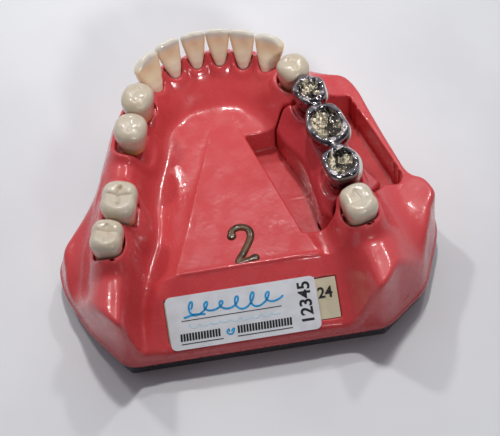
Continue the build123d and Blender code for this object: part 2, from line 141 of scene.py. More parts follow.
def inside_outline(x: Array, y: Array, points: list[Point2]) -> Array:
    """Distance to a closed outline in plan, negative inside it.

    Args:
        x: Plan X of each place.
        y: Plan Y of each place.
        points: Corners of the outline.

    Returns:
        The signed distance.
    """
    best = np.full(np.broadcast(x, y).shape, 1e9)
    inside = np.zeros(best.shape, bool)
    for (ax, ay), (bx, by) in zip(points, points[1:] + points[:1]):
        dx, dy = bx - ax, by - ay
        t = np.clip(((x - ax) * dx + (y - ay) * dy) / (dx * dx + dy * dy), 0, 1)
        best = np.minimum(best, np.hypot(x - ax - t * dx, y - ay - t * dy))
        if ay != by:
            inside ^= ((ay <= y) != (by <= y)) & (x < ax + (y - ay) * dx / dy)
    return np.where(inside, -best, best)


def rounded(points: list[Point2], radius: float, parts: int = 4) -> list[Point2]:
    """Outline with each corner cut by a short arc.

    Args:
        points: Corners of the outline.
        radius: How far from the corner the arc starts.
        parts: Straight parts in each arc.

    Returns:
        The longer list of corners.
    """
    made = []
    count = len(points)
    for k, here in enumerate(points):
        before, after = np.array(points[k - 1]), np.array(points[(k + 1) % count])
        corner = np.array(here)
        into, away = before - corner, after - corner
        start = corner + into * min(0.45, radius / hypot(*into))
        end = corner + away * min(0.45, radius / hypot(*away))
        for step in range(parts + 1):
            t = step / parts
            spot = (1 - t) ** 2 * start + 2 * t * (1 - t) * corner + t * t * end
            made.append((float(spot[0]), float(spot[1])))
    return made


def smooth_line(points: list[Point2], parts: int = 6) -> list[Point2]:
    """Smooth curve through the given points."""
    p = [np.array(q, float) for q in points]
    p = [2 * p[0] - p[1]] + p + [2 * p[-1] - p[-2]]
    made = []
    for a, b, c, d in zip(p, p[1:], p[2:], p[3:]):
        for step in range(parts):
            t = step / parts
            spot = 0.5 * (2 * b + (c - a) * t + (2 * a - 5 * b + 4 * c - d) * t * t
                          + (3 * b - a - 3 * c + d) * t ** 3)
            made.append((float(spot[0]), float(spot[1])))
    return made + [points[-1]]


def above(top: Callable[[Array, Array], Array], x: Array, y: Array, z: Array) -> Array:
    """Distance above a height field, square to its surface."""
    here = top(x, y)
    slope = np.sqrt(1 + ((top(x + TINY, y) - here) / TINY) ** 2
                    + ((top(x, y + TINY) - here) / TINY) ** 2)
    return (z - here) / slope


def stand(name: str, data: bpy.types.ID) -> bpy.types.Object:
    """Make an object and link it to the scene."""
    obj = bpy.data.objects.new(name, data)
    bpy.context.scene.collection.objects.link(obj)
    return obj


@dataclass(frozen=True)
class Ripple:
    """Uneven hand-made surface as a sum of seeded waves."""

    seed: int
    length: float
    waves: int = 14

    def at(self, x: Array, y: Array) -> Array:
        """Height of the ripple, about -1 to 1."""
        rng = np.random.default_rng(self.seed)
        total = np.zeros(np.broadcast(x, y).shape)
        for _ in range(self.waves):
            turn, phase = rng.uniform(0, 2 * pi, 2)
            k = 2 * pi / (self.length * rng.uniform(0.6, 1.6))
            total = total + np.sin(k * (x * cos(turn) + y * sin(turn)) + phase)
        return total / self.waves ** 0.5


# ---------------------------------------------------------------- sculpting

CORNERS = np.array([(i, j, k) for i in (0, 1) for j in (0, 1) for k in (0, 1)])
CELL_EDGES = [(a, b) for a in range(8) for b in range(a + 1, 8)
              if abs(CORNERS[a] - CORNERS[b]).sum() == 1]


@dataclass(frozen=True)
class Clay:
    """A block of space that a solid is carved in, and the fineness of its skin."""

    low: tuple[float, float, float]
    high: tuple[float, float, float]
    step: float

    def axes(self) -> tuple[Array, Array, Array]:
        """Grid positions along each axis, shaped so that they combine."""
        lines = [np.arange(a - 2 * self.step, b + 2.5 * self.step, self.step)
                 for a, b in zip(self.low, self.high)]
        return lines[0][:, None, None], lines[1][None, :, None], lines[2][None, None, :]

    def skin(self, solid: Field) -> tuple[Array, Array]:
        """Carve a solid and wrap it in four-sided faces.

        Args:
            solid: Signed distance of the solid, negative inside.

        Returns:
            Corner points and faces.
        """
        x, y, z = self.axes()
        values = np.broadcast_to(solid(x, y, z), (x.size, y.size, z.size))
        inside = values < 0
        nx, ny, nz = values.shape
        count = np.zeros((nx - 1, ny - 1, nz - 1), np.int8)
        for i, j, k in CORNERS:
            count += inside[i:nx - 1 + i, j:ny - 1 + j, k:nz - 1 + k]
        mixed = (count > 0) & (count < 8)
        cells = np.argwhere(mixed)
        index = np.full(mixed.shape, -1, np.int64)
        index[mixed] = np.arange(len(cells))
        at = np.stack([values[tuple((cells + c).T)] for c in CORNERS], 1)
        total, hits = np.zeros((len(cells), 3)), np.zeros((len(cells), 1))
        for a, b in CELL_EDGES:
            cut = (at[:, a] < 0) != (at[:, b] < 0)
            t = np.where(cut, at[:, a] / np.where(cut, at[:, a] - at[:, b], 1), 0)
            spot = CORNERS[a] + t[:, None] * (CORNERS[b] - CORNERS[a])
            total += spot * cut[:, None]
            hits += cut[:, None]
        origin = np.array([x.flat[0], y.flat[0], z.flat[0]])
        points = origin + self.step * (cells + total / hits)
        return self.settle(points, solid), self.faces(inside, index)

    @staticmethod
    def faces(inside: Array, index: Array) -> Array:
        """Faces across every grid edge that the skin cuts.

        Args:
            inside: Which grid points lie in the solid.
            index: Number of the skin point in each cell.

        Returns:
            Four point numbers per face.
        """
        made = []
        for axis in range(3):
            order = (axis, (axis + 1) % 3, (axis + 2) % 3)
            solid, cell = inside.transpose(order), index.transpose(order)
            edges = np.argwhere(solid[:-1, 1:-1, 1:-1] != solid[1:, 1:-1, 1:-1]) + (0, 1, 1)
            i, j, k = edges.T
            quad = np.stack([cell[i, j - 1, k - 1], cell[i, j, k - 1],
                             cell[i, j, k], cell[i, j - 1, k]], 1)
            back = ~solid[i, j, k]
            quad[back] = quad[back][:, ::-1]
            made.append(quad)
        return np.concatenate(made)

    def settle(self, points: Array, solid: Field, rounds: int = 2) -> Array:
        """Draw skin points onto the true surface.

        Args:
            points: Skin points.
            solid: Signed distance of the solid.
            rounds: How often to correct them.

        Returns:
            The corrected points.
        """
        tiny = self.step * 0.05
        for _ in range(rounds):
            x, y, z = points.T
            here = solid(x, y, z)
            slope = np.stack([solid(x + tiny, y, z), solid(x, y + tiny, z),
                              solid(x, y, z + tiny)], 1)
            slope = (slope - here[:, None]) / tiny
            move = -here[:, None] * slope / np.maximum((slope ** 2).sum(1), 0.3)[:, None]
            reach = np.linalg.norm(move, axis=1)[:, None]
            points = points + move * np.minimum(1, 0.5 * self.step / np.maximum(reach, 1e-9))
        return points


# ---------------------------------------------------------------- the arch

class Body(Enum):
    """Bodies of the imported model."""

    JAW = "jaw"
    LOOSE_TOOTH = "loose_tooth"
    BLOCK = "block"
    BRIDGE = "bridge"


class ToothKind(Enum):
    """How a crown is shaped."""

    INCISOR = "incisor"
    CANINE = "canine"
    PREMOLAR = "premolar"
    MOLAR = "molar"


@dataclass
class Arch:
    """Where the arch stands in the shared frame."""

    left_reach: float = 42.4
    front_reach: float = 5.5
    shift: Array = field(init=False)
    limits: tuple[Array, Array] = field(init=False)

    def __post_init__(self) -> None:
        """Find the arch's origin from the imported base, and the space the model fills."""
        self.limits = tuple(np.array(corner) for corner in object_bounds())
        low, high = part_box("jaw_base")
        self.shift = np.array([low.x / MM + self.left_reach, high.y / MM - self.front_reach, 0.0])

    def centre(self, node: str) -> Point2:
        """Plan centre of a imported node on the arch."""
        low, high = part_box(node)
        mid = (np.array(low) + np.array(high)) / 2 / MM - self.shift
        return float(mid[0]), float(mid[1])

    def piece(self, name: str, points: Array, faces: Array, body: Body) -> bpy.types.Object:
        """Make a smooth mesh piece that rides on a body.

        Args:
            name: Piece name.
            points: Corner points on the arch, in millimetres.
            faces: Point numbers of each face.
            body: Body that it moves with.

        Returns:
            The new object.
        """
        mesh = bpy.data.meshes.new(name)
        used, renumbered = np.unique(np.asarray(faces), return_inverse=True)
        renumbered = renumbered.reshape(np.asarray(faces).shape)
        place = np.clip((np.asarray(points)[used] + self.shift) * MM, *self.limits)
        mesh.from_pydata(place.tolist(), [], renumbered.tolist())
        mesh.polygons.foreach_set("use_smooth", np.ones(len(mesh.polygons), bool))
        mesh.update()
        obj = stand(name, mesh)
        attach(obj, body.value)
        return obj

    def sculpt(self, name: str, clay: Clay, solid: Field, body: Body, node: str,
               finish: "Finish") -> bpy.types.Object:
        """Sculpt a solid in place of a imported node.

        Args:
            name: Piece name.
            clay: Space and fineness of the carving.
            solid: Signed distance of the solid.
            body: Body that it moves with.
            node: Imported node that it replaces.
            finish: Its finish.

        Returns:
            The new object.
        """
        obj = self.piece(name, *clay.skin(solid), body)
        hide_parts(node)
        finish.dress(obj)
        return obj


# ---------------------------------------------------------------- materials

def linear(red: float, green: float, blue: float) -> tuple[float, float, float, float]:
    """Colour from display values of 0 to 255."""
    parts = [c / 255 for c in (red, green, blue)]
    lit = [c / 12.92 if c < 0.04045 else ((c + 0.055) / 1.055) ** 2.4 for c in parts]
    return (*lit, 1.0)


@dataclass
class Graph:
    """Short way to place and join shader nodes in one tree."""

    tree: bpy.types.NodeTree

    def add(self, kind: str, values: dict | None = None, **settings: object) -> bpy.types.Node:
        """Add a node.

        Args:
            kind: Node type after "ShaderNode".
            values: Numbers, colours or sockets for its inputs.
            settings: Attributes of the node.

        Returns:
            The new node.
        """
        node = self.tree.nodes.new("ShaderNode" + kind)
        for key, value in settings.items():
            setattr(node, key, value)
        for key, value in (values or {}).items():
            self.feed(node.inputs[key], value)
        return node

    def feed(self, socket: bpy.types.NodeSocket, value: object) -> None:
        """Join a socket to another one, or set its plain value."""
        if isinstance(value, bpy.types.NodeSocket):
            self.tree.links.new(value, socket)
        else:
            socket.default_value = value

    def noise(self, where: bpy.types.NodeSocket, per_mm: float, detail: float = 2.0,
              rough: float = 0.5) -> bpy.types.NodeSocket:
        """Noise of so many waves per millimetre, 0 to 1."""
        return self.add("TexNoise", {"Vector": where, "Scale": per_mm / MM, "Detail": detail,
                                     "Roughness": rough}).outputs["Fac"]

    def span(self, value: bpy.types.NodeSocket, low: float, high: float,
             to_low: float = 0.0, to_high: float = 1.0) -> bpy.types.NodeSocket:
        """Map a value smoothly from one span to another."""
        return self.add("MapRange", {"Value": value, "From Min": low, "From Max": high,
                                     "To Min": to_low, "To Max": to_high},
                        interpolation_type="SMOOTHSTEP").outputs["Result"]

    def mix(self, share: object, first: object, second: object,
            how: str = "MIX") -> bpy.types.NodeSocket:
        """Blend two colours."""
        node = self.add("Mix", data_type="RGBA", blend_type=how)
        for place, value in ((0, share), (6, first), (7, second)):
            self.feed(node.inputs[place], value)
        return node.outputs[2]

    def sum(self, how: str, first: object, second: object) -> bpy.types.NodeSocket:
        """Combine two values."""
        node = self.add("Math", operation=how)
        for socket, value in zip(node.inputs, (first, second)):
            self.feed(socket, value)
        return node.outputs[0]


def group(name: str, inputs: dict[str, tuple[str, object]], outputs: dict[str, str]
          ) -> tuple[bpy.types.NodeTree, bpy.types.Node, bpy.types.Node]:
    """Start a shader node group.

    Args:
        name: Group name.
        inputs: Socket kind and default of each input.
        outputs: Socket kind of each output.

    Returns:
        The group and its input and output nodes.
    """
    tree = bpy.data.node_groups.new(name, "ShaderNodeTree")
    for label, (kind, value) in inputs.items():
        socket = tree.interface.new_socket(label, in_out="INPUT", socket_type="NodeSocket" + kind)
        socket.default_value = value
    for label, kind in outputs.items():
        tree.interface.new_socket(label, in_out="OUTPUT", socket_type="NodeSocket" + kind)
    return tree, tree.nodes.new("NodeGroupInput"), tree.nodes.new("NodeGroupOutput")


class Effects:
    """Shader effects that several finishes share."""

    def __init__(self) -> None:
        """Build each group once."""
        self.orange_peel = self.make_orange_peel()
        self.mottle = self.make_mottle()
        self.crevice = self.make_crevice()

    @staticmethod
    def make_orange_peel() -> bpy.types.NodeTree:
        """Fine unevenness of a cast or glazed surface."""
        tree, came, gone = group("orange peel", {"Waves per mm": ("Float", 0.8),
                                                 "Depth mm": ("Float", 0.03)}, {"Height": "Float"})
        g = Graph(tree)
        where = g.add("TexCoord").outputs["Object"]
        scale = g.sum("MULTIPLY", came.outputs[0], 1 / MM)
        broad = g.add("TexNoise", {"Vector": where, "Scale": scale, "Detail": 1.5}).outputs["Fac"]
        finer = g.add("TexNoise", {"Vector": where, "Scale": g.sum("MULTIPLY", scale, 3.1),
                                   "Detail": 2.0}).outputs["Fac"]
        both = g.sum("ADD", broad, g.sum("MULTIPLY", finer, 0.3))
        depth = g.sum("MULTIPLY", came.outputs[1], MM)
        tree.links.new(g.sum("MULTIPLY", both, depth), gone.inputs["Height"])
        return tree

    @staticmethod
    def make_mottle() -> bpy.types.NodeTree:
        """Slow cloudy change between two colours."""
        tree, came, gone = group("mottle", {"First": ("Color", (1, 1, 1, 1)),
                                            "Second": ("Color", (1, 1, 1, 1)),
                                            "Waves per mm": ("Float", 0.1)}, {"Color": "Color"})
        g = Graph(tree)
        where = g.add("TexCoord").outputs["Object"]
        scale = g.sum("MULTIPLY", came.outputs[2], 1 / MM)
        cloud = g.add("TexNoise", {"Vector": where, "Scale": scale, "Detail": 4.0}).outputs["Fac"]
        share = g.span(cloud, 0.35, 0.68)
        tree.links.new(g.mix(share, came.outputs[0], came.outputs[1]), gone.inputs["Color"])
        return tree

    @staticmethod
    def make_crevice() -> bpy.types.NodeTree:
        """Mask of hollows, from the curvature of the mesh; the gum resins use it for painted shade.
        """
        tree, came, gone = group("crevice", {"Strength": ("Float", 1.0)}, {"Mask": "Float"})
        g = Graph(tree)
        hollow = g.span(g.add("NewGeometry").outputs["Pointiness"], 0.5, 0.40)
        tree.links.new(g.sum("MULTIPLY", hollow, came.outputs[0]), gone.inputs["Mask"])
        return tree


@dataclass
class Finish:
    """One finish: a Principled surface fed by colour, roughness and height."""

    name: str
    roughness: float = 0.4
    metallic: float = 0.0
    coat: float = 0.0
    coat_roughness: float = 0.05
    subsurface: float = 0.0
    ior: float = 1.5
    material: bpy.types.Material = field(init=False)
    shader: bpy.types.Node = field(init=False)
    graph: Graph = field(init=False)

    def __post_init__(self) -> None:
        """Make the material with its plain numbers."""
        self.material = bpy.data.materials.new(self.name)
        self.material.use_nodes = True
        self.graph = Graph(self.material.node_tree)
        self.shader = self.material.node_tree.nodes["Principled BSDF"]
        for key, value in (("Roughness", self.roughness), ("Metallic", self.metallic),
                           ("Coat Weight", self.coat), ("Coat Roughness", self.coat_roughness),
                           ("Subsurface Weight", self.subsurface), ("IOR", self.ior)):
            self.shader.inputs[key].default_value = value
        self.shader.inputs["Subsurface Radius"].default_value = (1.0, 0.8, 0.7)
        self.shader.inputs["Subsurface Scale"].default_value = 1.2 * MM

    def where(self) -> bpy.types.NodeSocket:
        """Place on the piece, in metres."""
        return self.graph.add("TexCoord").outputs["Object"]

    def height_mm(self) -> bpy.types.NodeSocket:
        """Height above the table at rest, in millimetres."""
        split = self.graph.add("SeparateXYZ", {"Vector": self.where()})
        return self.graph.sum("MULTIPLY", split.outputs["Z"], 1 / MM)

    def use(self, tree: bpy.types.NodeTree, values: dict) -> bpy.types.Node:
        """Place a shared effect in this finish."""
        return self.graph.add("Group", values, node_tree=tree)

    def colour(self, socket: bpy.types.NodeSocket) -> None:
        """Feed the base colour."""
        self.material.node_tree.links.new(socket, self.shader.inputs["Base Color"])

    def rough(self, socket: bpy.types.NodeSocket) -> None:
        """Feed the roughness."""
        self.material.node_tree.links.new(socket, self.shader.inputs["Roughness"])

    def bump(self, height: bpy.types.NodeSocket, strength: float = 1.0) -> None:
        """Feed a height in metres through a bump."""
        node = self.graph.add("Bump", {"Height": height, "Strength": strength, "Distance": 1.0})
        for target in ("Normal", "Coat Normal"):
            if target == "Normal" or self.coat:
                self.material.node_tree.links.new(node.outputs[0], self.shader.inputs[target])

    def dress(self, *objects: bpy.types.Object) -> None:
        """Put the finish on objects."""
        for obj in objects:
            if obj.material_slots:
                for slot in obj.material_slots:
                    slot.material = self.material
            else:
                obj.data.materials.append(self.material)


class Finishes:
    """Every finish of the model."""

    def __init__(self, effects: Effects) -> None:
        """Build the finishes.

        Args:
            effects: Shared shader effects.
        """
        self.effects = effects
        self.gum = self.resin("gum_resin", (206, 72, 76), (201, 68, 72), 0.24)
        self.block_gum = self.resin("block_resin", (204, 68, 75), (192, 60, 67), 0.24)
        self.stump = self.resin("stump_resin", (150, 32, 36), (126, 24, 28), 0.3)
        self.tooth = self.enamel("back_tooth_resin", (202, 190, 172), (196, 180, 156), False)
        self.front_tooth = self.enamel("front_tooth_resin", (238, 222, 198), (234, 212, 178), True)
        self.facing = self.enamel("facing_resin", (228, 226, 218), (216, 212, 200), False)
        self.chrome = self.bridge_metal()
        self.card = self.paper("cream_card", (214, 205, 176), 0.55)
        self.sheet = self.paper("sticker_paper", (226, 228, 234), 0.32)
        self.blue_ink = self.ink("blue_ink", (20, 140, 196))
        self.pale_ink = self.ink("pale_blue_ink", (168, 208, 232))
        self.black_ink = self.ink("black_ink", (18, 18, 20))
        self.brown = self.brown_enamel()
        self.plate = self.dark_resin()
        self.steel = self.turned("zinc_steel", (168, 170, 174), 0.3)
        self.brass = self.turned("brass", (196, 160, 88), 0.26)
        self.nickel = self.turned("nickel_plate", (190, 186, 178), 0.16)

    def cloud(self, made: Finish, first: tuple, second: tuple,
              waves: float) -> bpy.types.NodeSocket:
        """Cloudy colour between two tones, in waves per millimetre."""
        return made.use(self.effects.mottle, {"First": linear(*first), "Second": linear(*second),
                                              "Waves per mm": waves}).outputs[0]

    def peel(self, made: Finish, waves: float, depth: float) -> bpy.types.NodeSocket:
        """Height of a fine unevenness, in waves per millimetre and millimetres."""
        return made.use(self.effects.orange_peel, {"Waves per mm": waves,
                                                   "Depth mm": depth}).outputs[0]

    def resin(self, name: str, main: tuple, deep: tuple, rough: float) -> Finish:
        """Glossy cast gum resin with orange peel and painted shade in its hollows.

        Args:
            name: Name of the finish.
            main: Lit colour.
            deep: Darker colour of the clouding.
            rough: Roughness.

        Returns:
            The finish.
        """
        made = Finish(name, roughness=rough, coat=0.36, coat_roughness=0.05, subsurface=0.06)
        made.shader.inputs["Specular IOR Level"].default_value = 0.3
        cloud = self.cloud(made, main, deep, 0.07)
        # Painted shade: hollows darkened towards a deeper copy of the clouding tone.
        mask = made.use(self.effects.crevice, {"Strength": 0.6}).outputs[0]
        dark = linear(*(c * 0.62 for c in deep))
        made.colour(made.graph.mix(mask, cloud, dark))
        peel = self.peel(made, 0.75, 0.055)
        made.bump(peel)
        haze = made.graph.noise(made.where(), 0.25, 3.0)
        made.rough(made.graph.span(haze, 0.3, 0.75, rough - 0.05, rough + 0.12))
        return made

    def enamel(self, name: str, main: tuple, warm: tuple, banded: bool) -> Finish:
        """Layered tooth resin with painted light: gum reflection on back-tooth necks; on front
        teeth a brighter neck and middle and a glassy biting band.

        Args:
            name: Name of the finish.
            main: Colour near the biting edge.
            warm: Colour of the middle.
            banded: Whether it has the greyish glassy band and the brighter painted-light neck and
                middle.

        Returns:
            The finish.
        """
        made = Finish(name, roughness=0.34, coat=0.7, coat_roughness=0.04,
                      subsurface=0.6 if banded else 0.25)
        g = made.graph
        height = made.height_mm()
        cloud = self.cloud(made, main, warm, 0.16)
        if banded:
            # Front teeth: neck and middle painted brighter to stand in for light on their shaded
            # tongue side; the greyish band is the glassy biting edge, also painted darker to offset
            # the lamps that strike it.
            neck = g.mix(g.span(height, 22.0, 26.0), linear(244, 230, 208), cloud)
            body = g.mix(g.span(height, 25.5, 28.0), neck, linear(240, 216, 180))
            cloud = g.mix(g.span(height, 28.6, 30.4), body, linear(216, 210, 198))
        else:
            # Warmer and darker towards the gum line: painted reflection of the pink gum on the
            # neck.
            cloud = g.mix(g.span(height, 26.2, 24.2), cloud, linear(204, 160, 104))
            mask = made.use(self.effects.crevice, {"Strength": 0.75}).outputs[0]
            cloud = g.mix(mask, cloud, linear(186, 158, 118))
        made.colour(cloud)
        made.bump(self.peel(made, 0.9, 0.01))
        return made

    def bridge_metal(self) -> Finish:
        """Polished chrome rims, painted darker to stand in for the dark surroundings they reflect,
        round a rough champagne chewing table.
        """
        made = Finish("bridge_metal", roughness=0.1, metallic=1.0)
        g = made.graph
        table = g.add("Attribute", attribute_name="table").outputs["Fac"]
        grain = g.noise(made.where(), 1.6, 5.0, 0.7)
        patches = g.noise(made.where(), 0.42, 1.5)
        worn = g.sum("MULTIPLY", g.span(patches, 0.47, 0.56), g.span(grain, 0.3, 0.5))
        rough_tone = g.mix(worn, linear(84, 78, 74), linear(204, 192, 170))
        # Rim tone: painted reflection, darkened to stand in for dark surroundings mirrored in the
        # chrome.
        made.colour(g.mix(table, linear(138, 132, 135), rough_tone))
        made.rough(g.sum("ADD", g.sum("MULTIPLY", worn, 0.24), 0.08))
        peel = self.peel(made, 0.7, 0.02)
        coarse = g.sum("MULTIPLY", g.sum("MULTIPLY", grain, g.sum("MULTIPLY", table, worn)),
                       0.3 * MM)
        made.bump(g.sum("ADD", peel, coarse))
        return made

    def paper(self, name: str, tone: tuple, rough: float) -> Finish:
        """Card or coated paper with a faint grain."""
        made = Finish(name, roughness=rough)
        cloud = self.cloud(made, tone, tuple(c * 0.95 for c in tone), 0.3)
        made.colour(cloud)
        made.bump(self.peel(made, 4.0, 0.004))
        return made

    def ink(self, name: str, tone: tuple) -> Finish:
        """Printed ink that is a little uneven."""
        made = Finish(name, roughness=0.45)
        made.colour(self.cloud(made, tone, tuple(min(255, c * 1.15 + 6) for c in tone), 1.2))
        return made

    def brown_enamel(self) -> Finish:
        """Dark glossy enamel of the inlaid number, clouded with a warmer brown."""
        made = Finish("brown_enamel", roughness=0.3, coat=0.2)
        made.shader.inputs["Specular IOR Level"].default_value = 0.3
        cloud = self.cloud(made, (60, 36, 20), (96, 62, 28), 0.5)
        made.colour(cloud)
        made.bump(self.peel(made, 1.1, 0.05))
        return made

    def dark_resin(self) -> Finish:
        """Satin dark resin of the base plate, with fine scuffs."""
        made = Finish("dark_base_resin", roughness=0.3, coat=1.0, coat_roughness=0.12)
        made.colour(self.cloud(made, (26, 26, 29), (40, 39, 43), 0.4))
        scuffs = made.graph.noise(made.where(), 2.2, 6.0, 0.7)
        made.rough(made.graph.span(scuffs, 0.35, 0.7, 0.22, 0.42))
        made.bump(self.peel(made, 1.4, 0.02))
        return made

    def turned(self, name: str, tone: tuple, rough: float) -> Finish:
        """Turned and plated metal with fine marks."""
        made = Finish(name, roughness=rough, metallic=1.0)
        made.colour(self.cloud(made, tone, tuple(c * 0.86 for c in tone), 0.8))
        marks = made.graph.noise(made.where(), 6.0, 3.0)
        made.rough(made.graph.span(marks, 0.3, 0.7, rough - 0.05, rough + 0.12))
        made.bump(self.peel(made, 3.0, 0.006))
        return made


# ---------------------------------------------------------------- teeth

@dataclass(frozen=True)
class Tooth:
    """One crown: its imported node, kind, turn and size in millimetres."""

    node: str
    kind: ToothKind
    turn: float
    width: float
    depth: float
    gum: float = 24.5
    bite: float = 31.0
    lean: float = 0.0
    fissure: float = 0.1

    def local(self, centre: Point2, x: Array, y: Array) -> tuple[Array, Array]:
        """Places along and across the tooth.

        Args:
            centre: Plan centre of the tooth.
            x: Plan X of each place.
            y: Plan Y of each place.

        Returns:
            Distance along the arch and outwards across it.
        """
        a = radians(self.turn)
        dx, dy = x - centre[0], y - centre[1]
        return dx * cos(a) + dy * sin(a), -dx * sin(a) + dy * cos(a)

    @property
    def front(self) -> bool:
        """Whether it is a thin biting tooth."""
        return self.kind in (ToothKind.INCISOR, ToothKind.CANINE)

    def ring(self, u: Array, v: Array, half_u: Array, half_v: Array, power: float) -> Array:
        """Distance to a rounded outline, negative inside."""
        r = ((np.abs(u) / half_u) ** power + (np.abs(v) / half_v) ** power) ** (1 / power)
        return (r - 1) * np.minimum(half_u, half_v)

    def neck(self, centre: Point2, x: Array, y: Array) -> Array:
        """Distance to the crown where it enters the gum."""
        u, v = self.local(centre, x, y)
        if self.front:
            return self.ring(u, v, self.width * 0.33, self.depth * 0.53, 2.1)
        return self.ring(u, v, self.width * 0.47, self.depth * 0.47, 2.6)

    def crown(self, centre: Point2) -> Field:
        """Solid of the whole crown."""
        shape = self.front_crown if self.front else self.back_crown

        def solid(x: Array, y: Array, z: Array) -> Array:
            """Distance to the crown."""
            u, v = self.local(centre, x, y)
            return shape(u, v, z)
        return solid

    def front_crown(self, u: Array, v: Array, z: Array) -> Array:
        """Narrow round neck, scooped tongue side and thin wide biting edge."""
        low = self.gum - 2.4
        t = np.clip((z - low) / (self.bite - low), 0, 1)
        marks = [0.0, 0.2, 0.36, 0.52, 0.72, 0.88, 1.0]
        half = self.width * np.interp(t, marks, [0.22, 0.275, 0.35, 0.42, 0.49, 0.53, 0.53])
        outer = self.depth * np.interp(t, marks, [0.44, 0.5, 0.53, 0.55, 0.55, 0.53, 0.48])
        inner = self.depth * np.interp(t, marks, [-0.5, -0.56, -0.5, -0.36, -0.1, 0.1, 0.24])
        scoop = 0.12 * self.depth * bell((t - 0.66) / 0.2) * bell(u / (0.28 * self.width))
        inner = inner + scoop
        u = u - self.lean * t ** 2
        side = self.ring(u, v - (outer + inner) / 2, half, (outer - inner) / 2, 2.5)
        wear = -0.05 if "left" in self.node else 0.05
        canine = self.kind is ToothKind.CANINE
        sag = 1.3 * (np.abs(u) / half) ** 1.6 if canine else 0.35 * (u / half) ** 4
        tip = self.bite - sag - wear * u - 0.05 * np.sin(u * 2.6 + self.turn)
        solid = soft_max(side, (z - tip) * 0.9, 0.8)
        return soft_max(solid, low - z, 0.8)

    def table(self, u: Array, v: Array) -> Array:
        """Height of the chewing table."""
        su, sv = u / self.width, v / self.depth
        if self.kind is ToothKind.PREMOLAR:
            cusps = [(0.0, 0.25, 0.85, 0.27), (0.02, -0.27, 0.7, 0.22),
                     (0.3, 0.0, 0.5, 0.17), (-0.3, 0.0, 0.5, 0.17)]
        else:
            cusps = [(0.22, 0.24, 0.75, 0.22), (-0.24, 0.23, 0.7, 0.22),
                     (0.24, -0.25, 0.7, 0.22), (-0.22, -0.25, 0.65, 0.22),
                     (0.38, 0.0, 0.5, 0.16), (-0.38, 0.0, 0.45, 0.16)]
        height = np.full(np.broadcast(u, v).shape, self.bite - 0.85)
        for cu, cv, rise, reach in cusps:
            height = height + rise * bell(np.hypot(su - cu, sv - cv) / reach)
        wander = 0.03 * np.sin(su * 14 + self.turn)
        fade = ease((0.36 - np.abs(su)) / 0.14)
        height = height - self.fissure * bell((sv - wander) / 0.035) * fade
        if self.kind is ToothKind.MOLAR:
            cross = bell((su - 0.03 - 0.1 * np.abs(sv)) / 0.035)
            height = height - 0.8 * self.fissure * cross * ease((0.42 - np.abs(sv)) / 0.14)
        for pit in (-0.2, 0.22):
            height = height - 1.3 * self.fissure * bell(np.hypot(su - pit, sv) / 0.05)
        return np.minimum(height, self.bite)

    def back_crown(self, u: Array, v: Array, z: Array) -> Array:
        """Bulging wall, rounded shoulders and a cusped table."""
        low = self.gum - 2.0
        t = np.clip((z - low) / (self.bite - low), 0, 1)
        grow = np.interp(t, [0, 0.22, 0.5, 0.75, 0.9, 1.0], [0.8, 0.85, 0.95, 1.0, 0.99, 0.95])
        notch = 0.05 * bell(u / (0.1 * self.width)) if self.kind is ToothKind.MOLAR else 0.0
        power = 2.35 if self.kind is ToothKind.PREMOLAR else 2.9
        side = self.ring(u, v, self.width / 2 * grow, self.depth / 2 * grow * (1 - notch), power)
        top = (z - self.table(u, v)) * 0.85
        return soft_max(soft_max(side, top, 1.5), low - z, 0.8)


@dataclass
class ToothSet:
    """The single teeth."""

    step: float = 0.17
    front_gum: float = 22.5
    teeth: list[Tooth] = field(default_factory=list)

    def __post_init__(self) -> None:
        """List the teeth with their kinds, turns and sizes."""
        inc, can, pre, mol = (ToothKind.INCISOR, ToothKind.CANINE, ToothKind.PREMOLAR,
                              ToothKind.MOLAR)
        low = self.front_gum
        self.teeth = [
            Tooth("left_central_incisor", inc, 4, 5.6, 4.4, low),
            Tooth("right_central_incisor", inc, -4, 5.5, 4.4, low),
            Tooth("left_lateral_incisor", inc, 20, 5.8, 4.8, low),
            Tooth("right_lateral_incisor", inc, -16, 5.8, 4.8, low, lean=-0.5),
            Tooth("left_canine", can, 40, 7.2, 5.4, low, lean=1.2),
            Tooth("right_canine", can, -30, 7.1, 5.2, low, lean=-0.6),
            Tooth("left_first_premolar", pre, 66, 8.2, 7.5),
            Tooth("right_first_premolar", pre, -62, 7.4, 7.4),
            Tooth("left_second_premolar", pre, 74, 8.1, 7.7),
            Tooth("left_second_molar", mol, 76, 9.5, 8.3, fissure=0.3),
            Tooth("left_third_molar", mol, 74, 8.4, 7.4),
            Tooth("right_third_molar", mol, -74, 9.0, 7.7)]

    def build(self, arch: Arch, finishes: Finishes) -> list[bpy.types.Object]:
        """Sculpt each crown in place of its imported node.

        Args:
            arch: Where the arch stands.
            finishes: Every finish.

        Returns:
            The crowns.
        """
        made = []
        for tooth in self.teeth:
            centre = arch.centre(tooth.node)
            reach = max(tooth.width, tooth.depth) * 0.62 + 0.6
            clay = Clay((centre[0] - reach, centre[1] - reach, tooth.gum - 2.8),
                        (centre[0] + reach, centre[1] + reach, tooth.bite + 0.3), self.step)
            body = Body.LOOSE_TOOTH if tooth.node == LOOSE_TOOTH else Body.JAW
            finish = finishes.front_tooth if tooth.front else finishes.tooth
            made.append(arch.sculpt(tooth.node + "_crown", clay, tooth.crown(centre), body,
                                    tooth.node, finish))
            log.info("sculpted %s", tooth.node)
        return made


# ---------------------------------------------------------------- gum relief

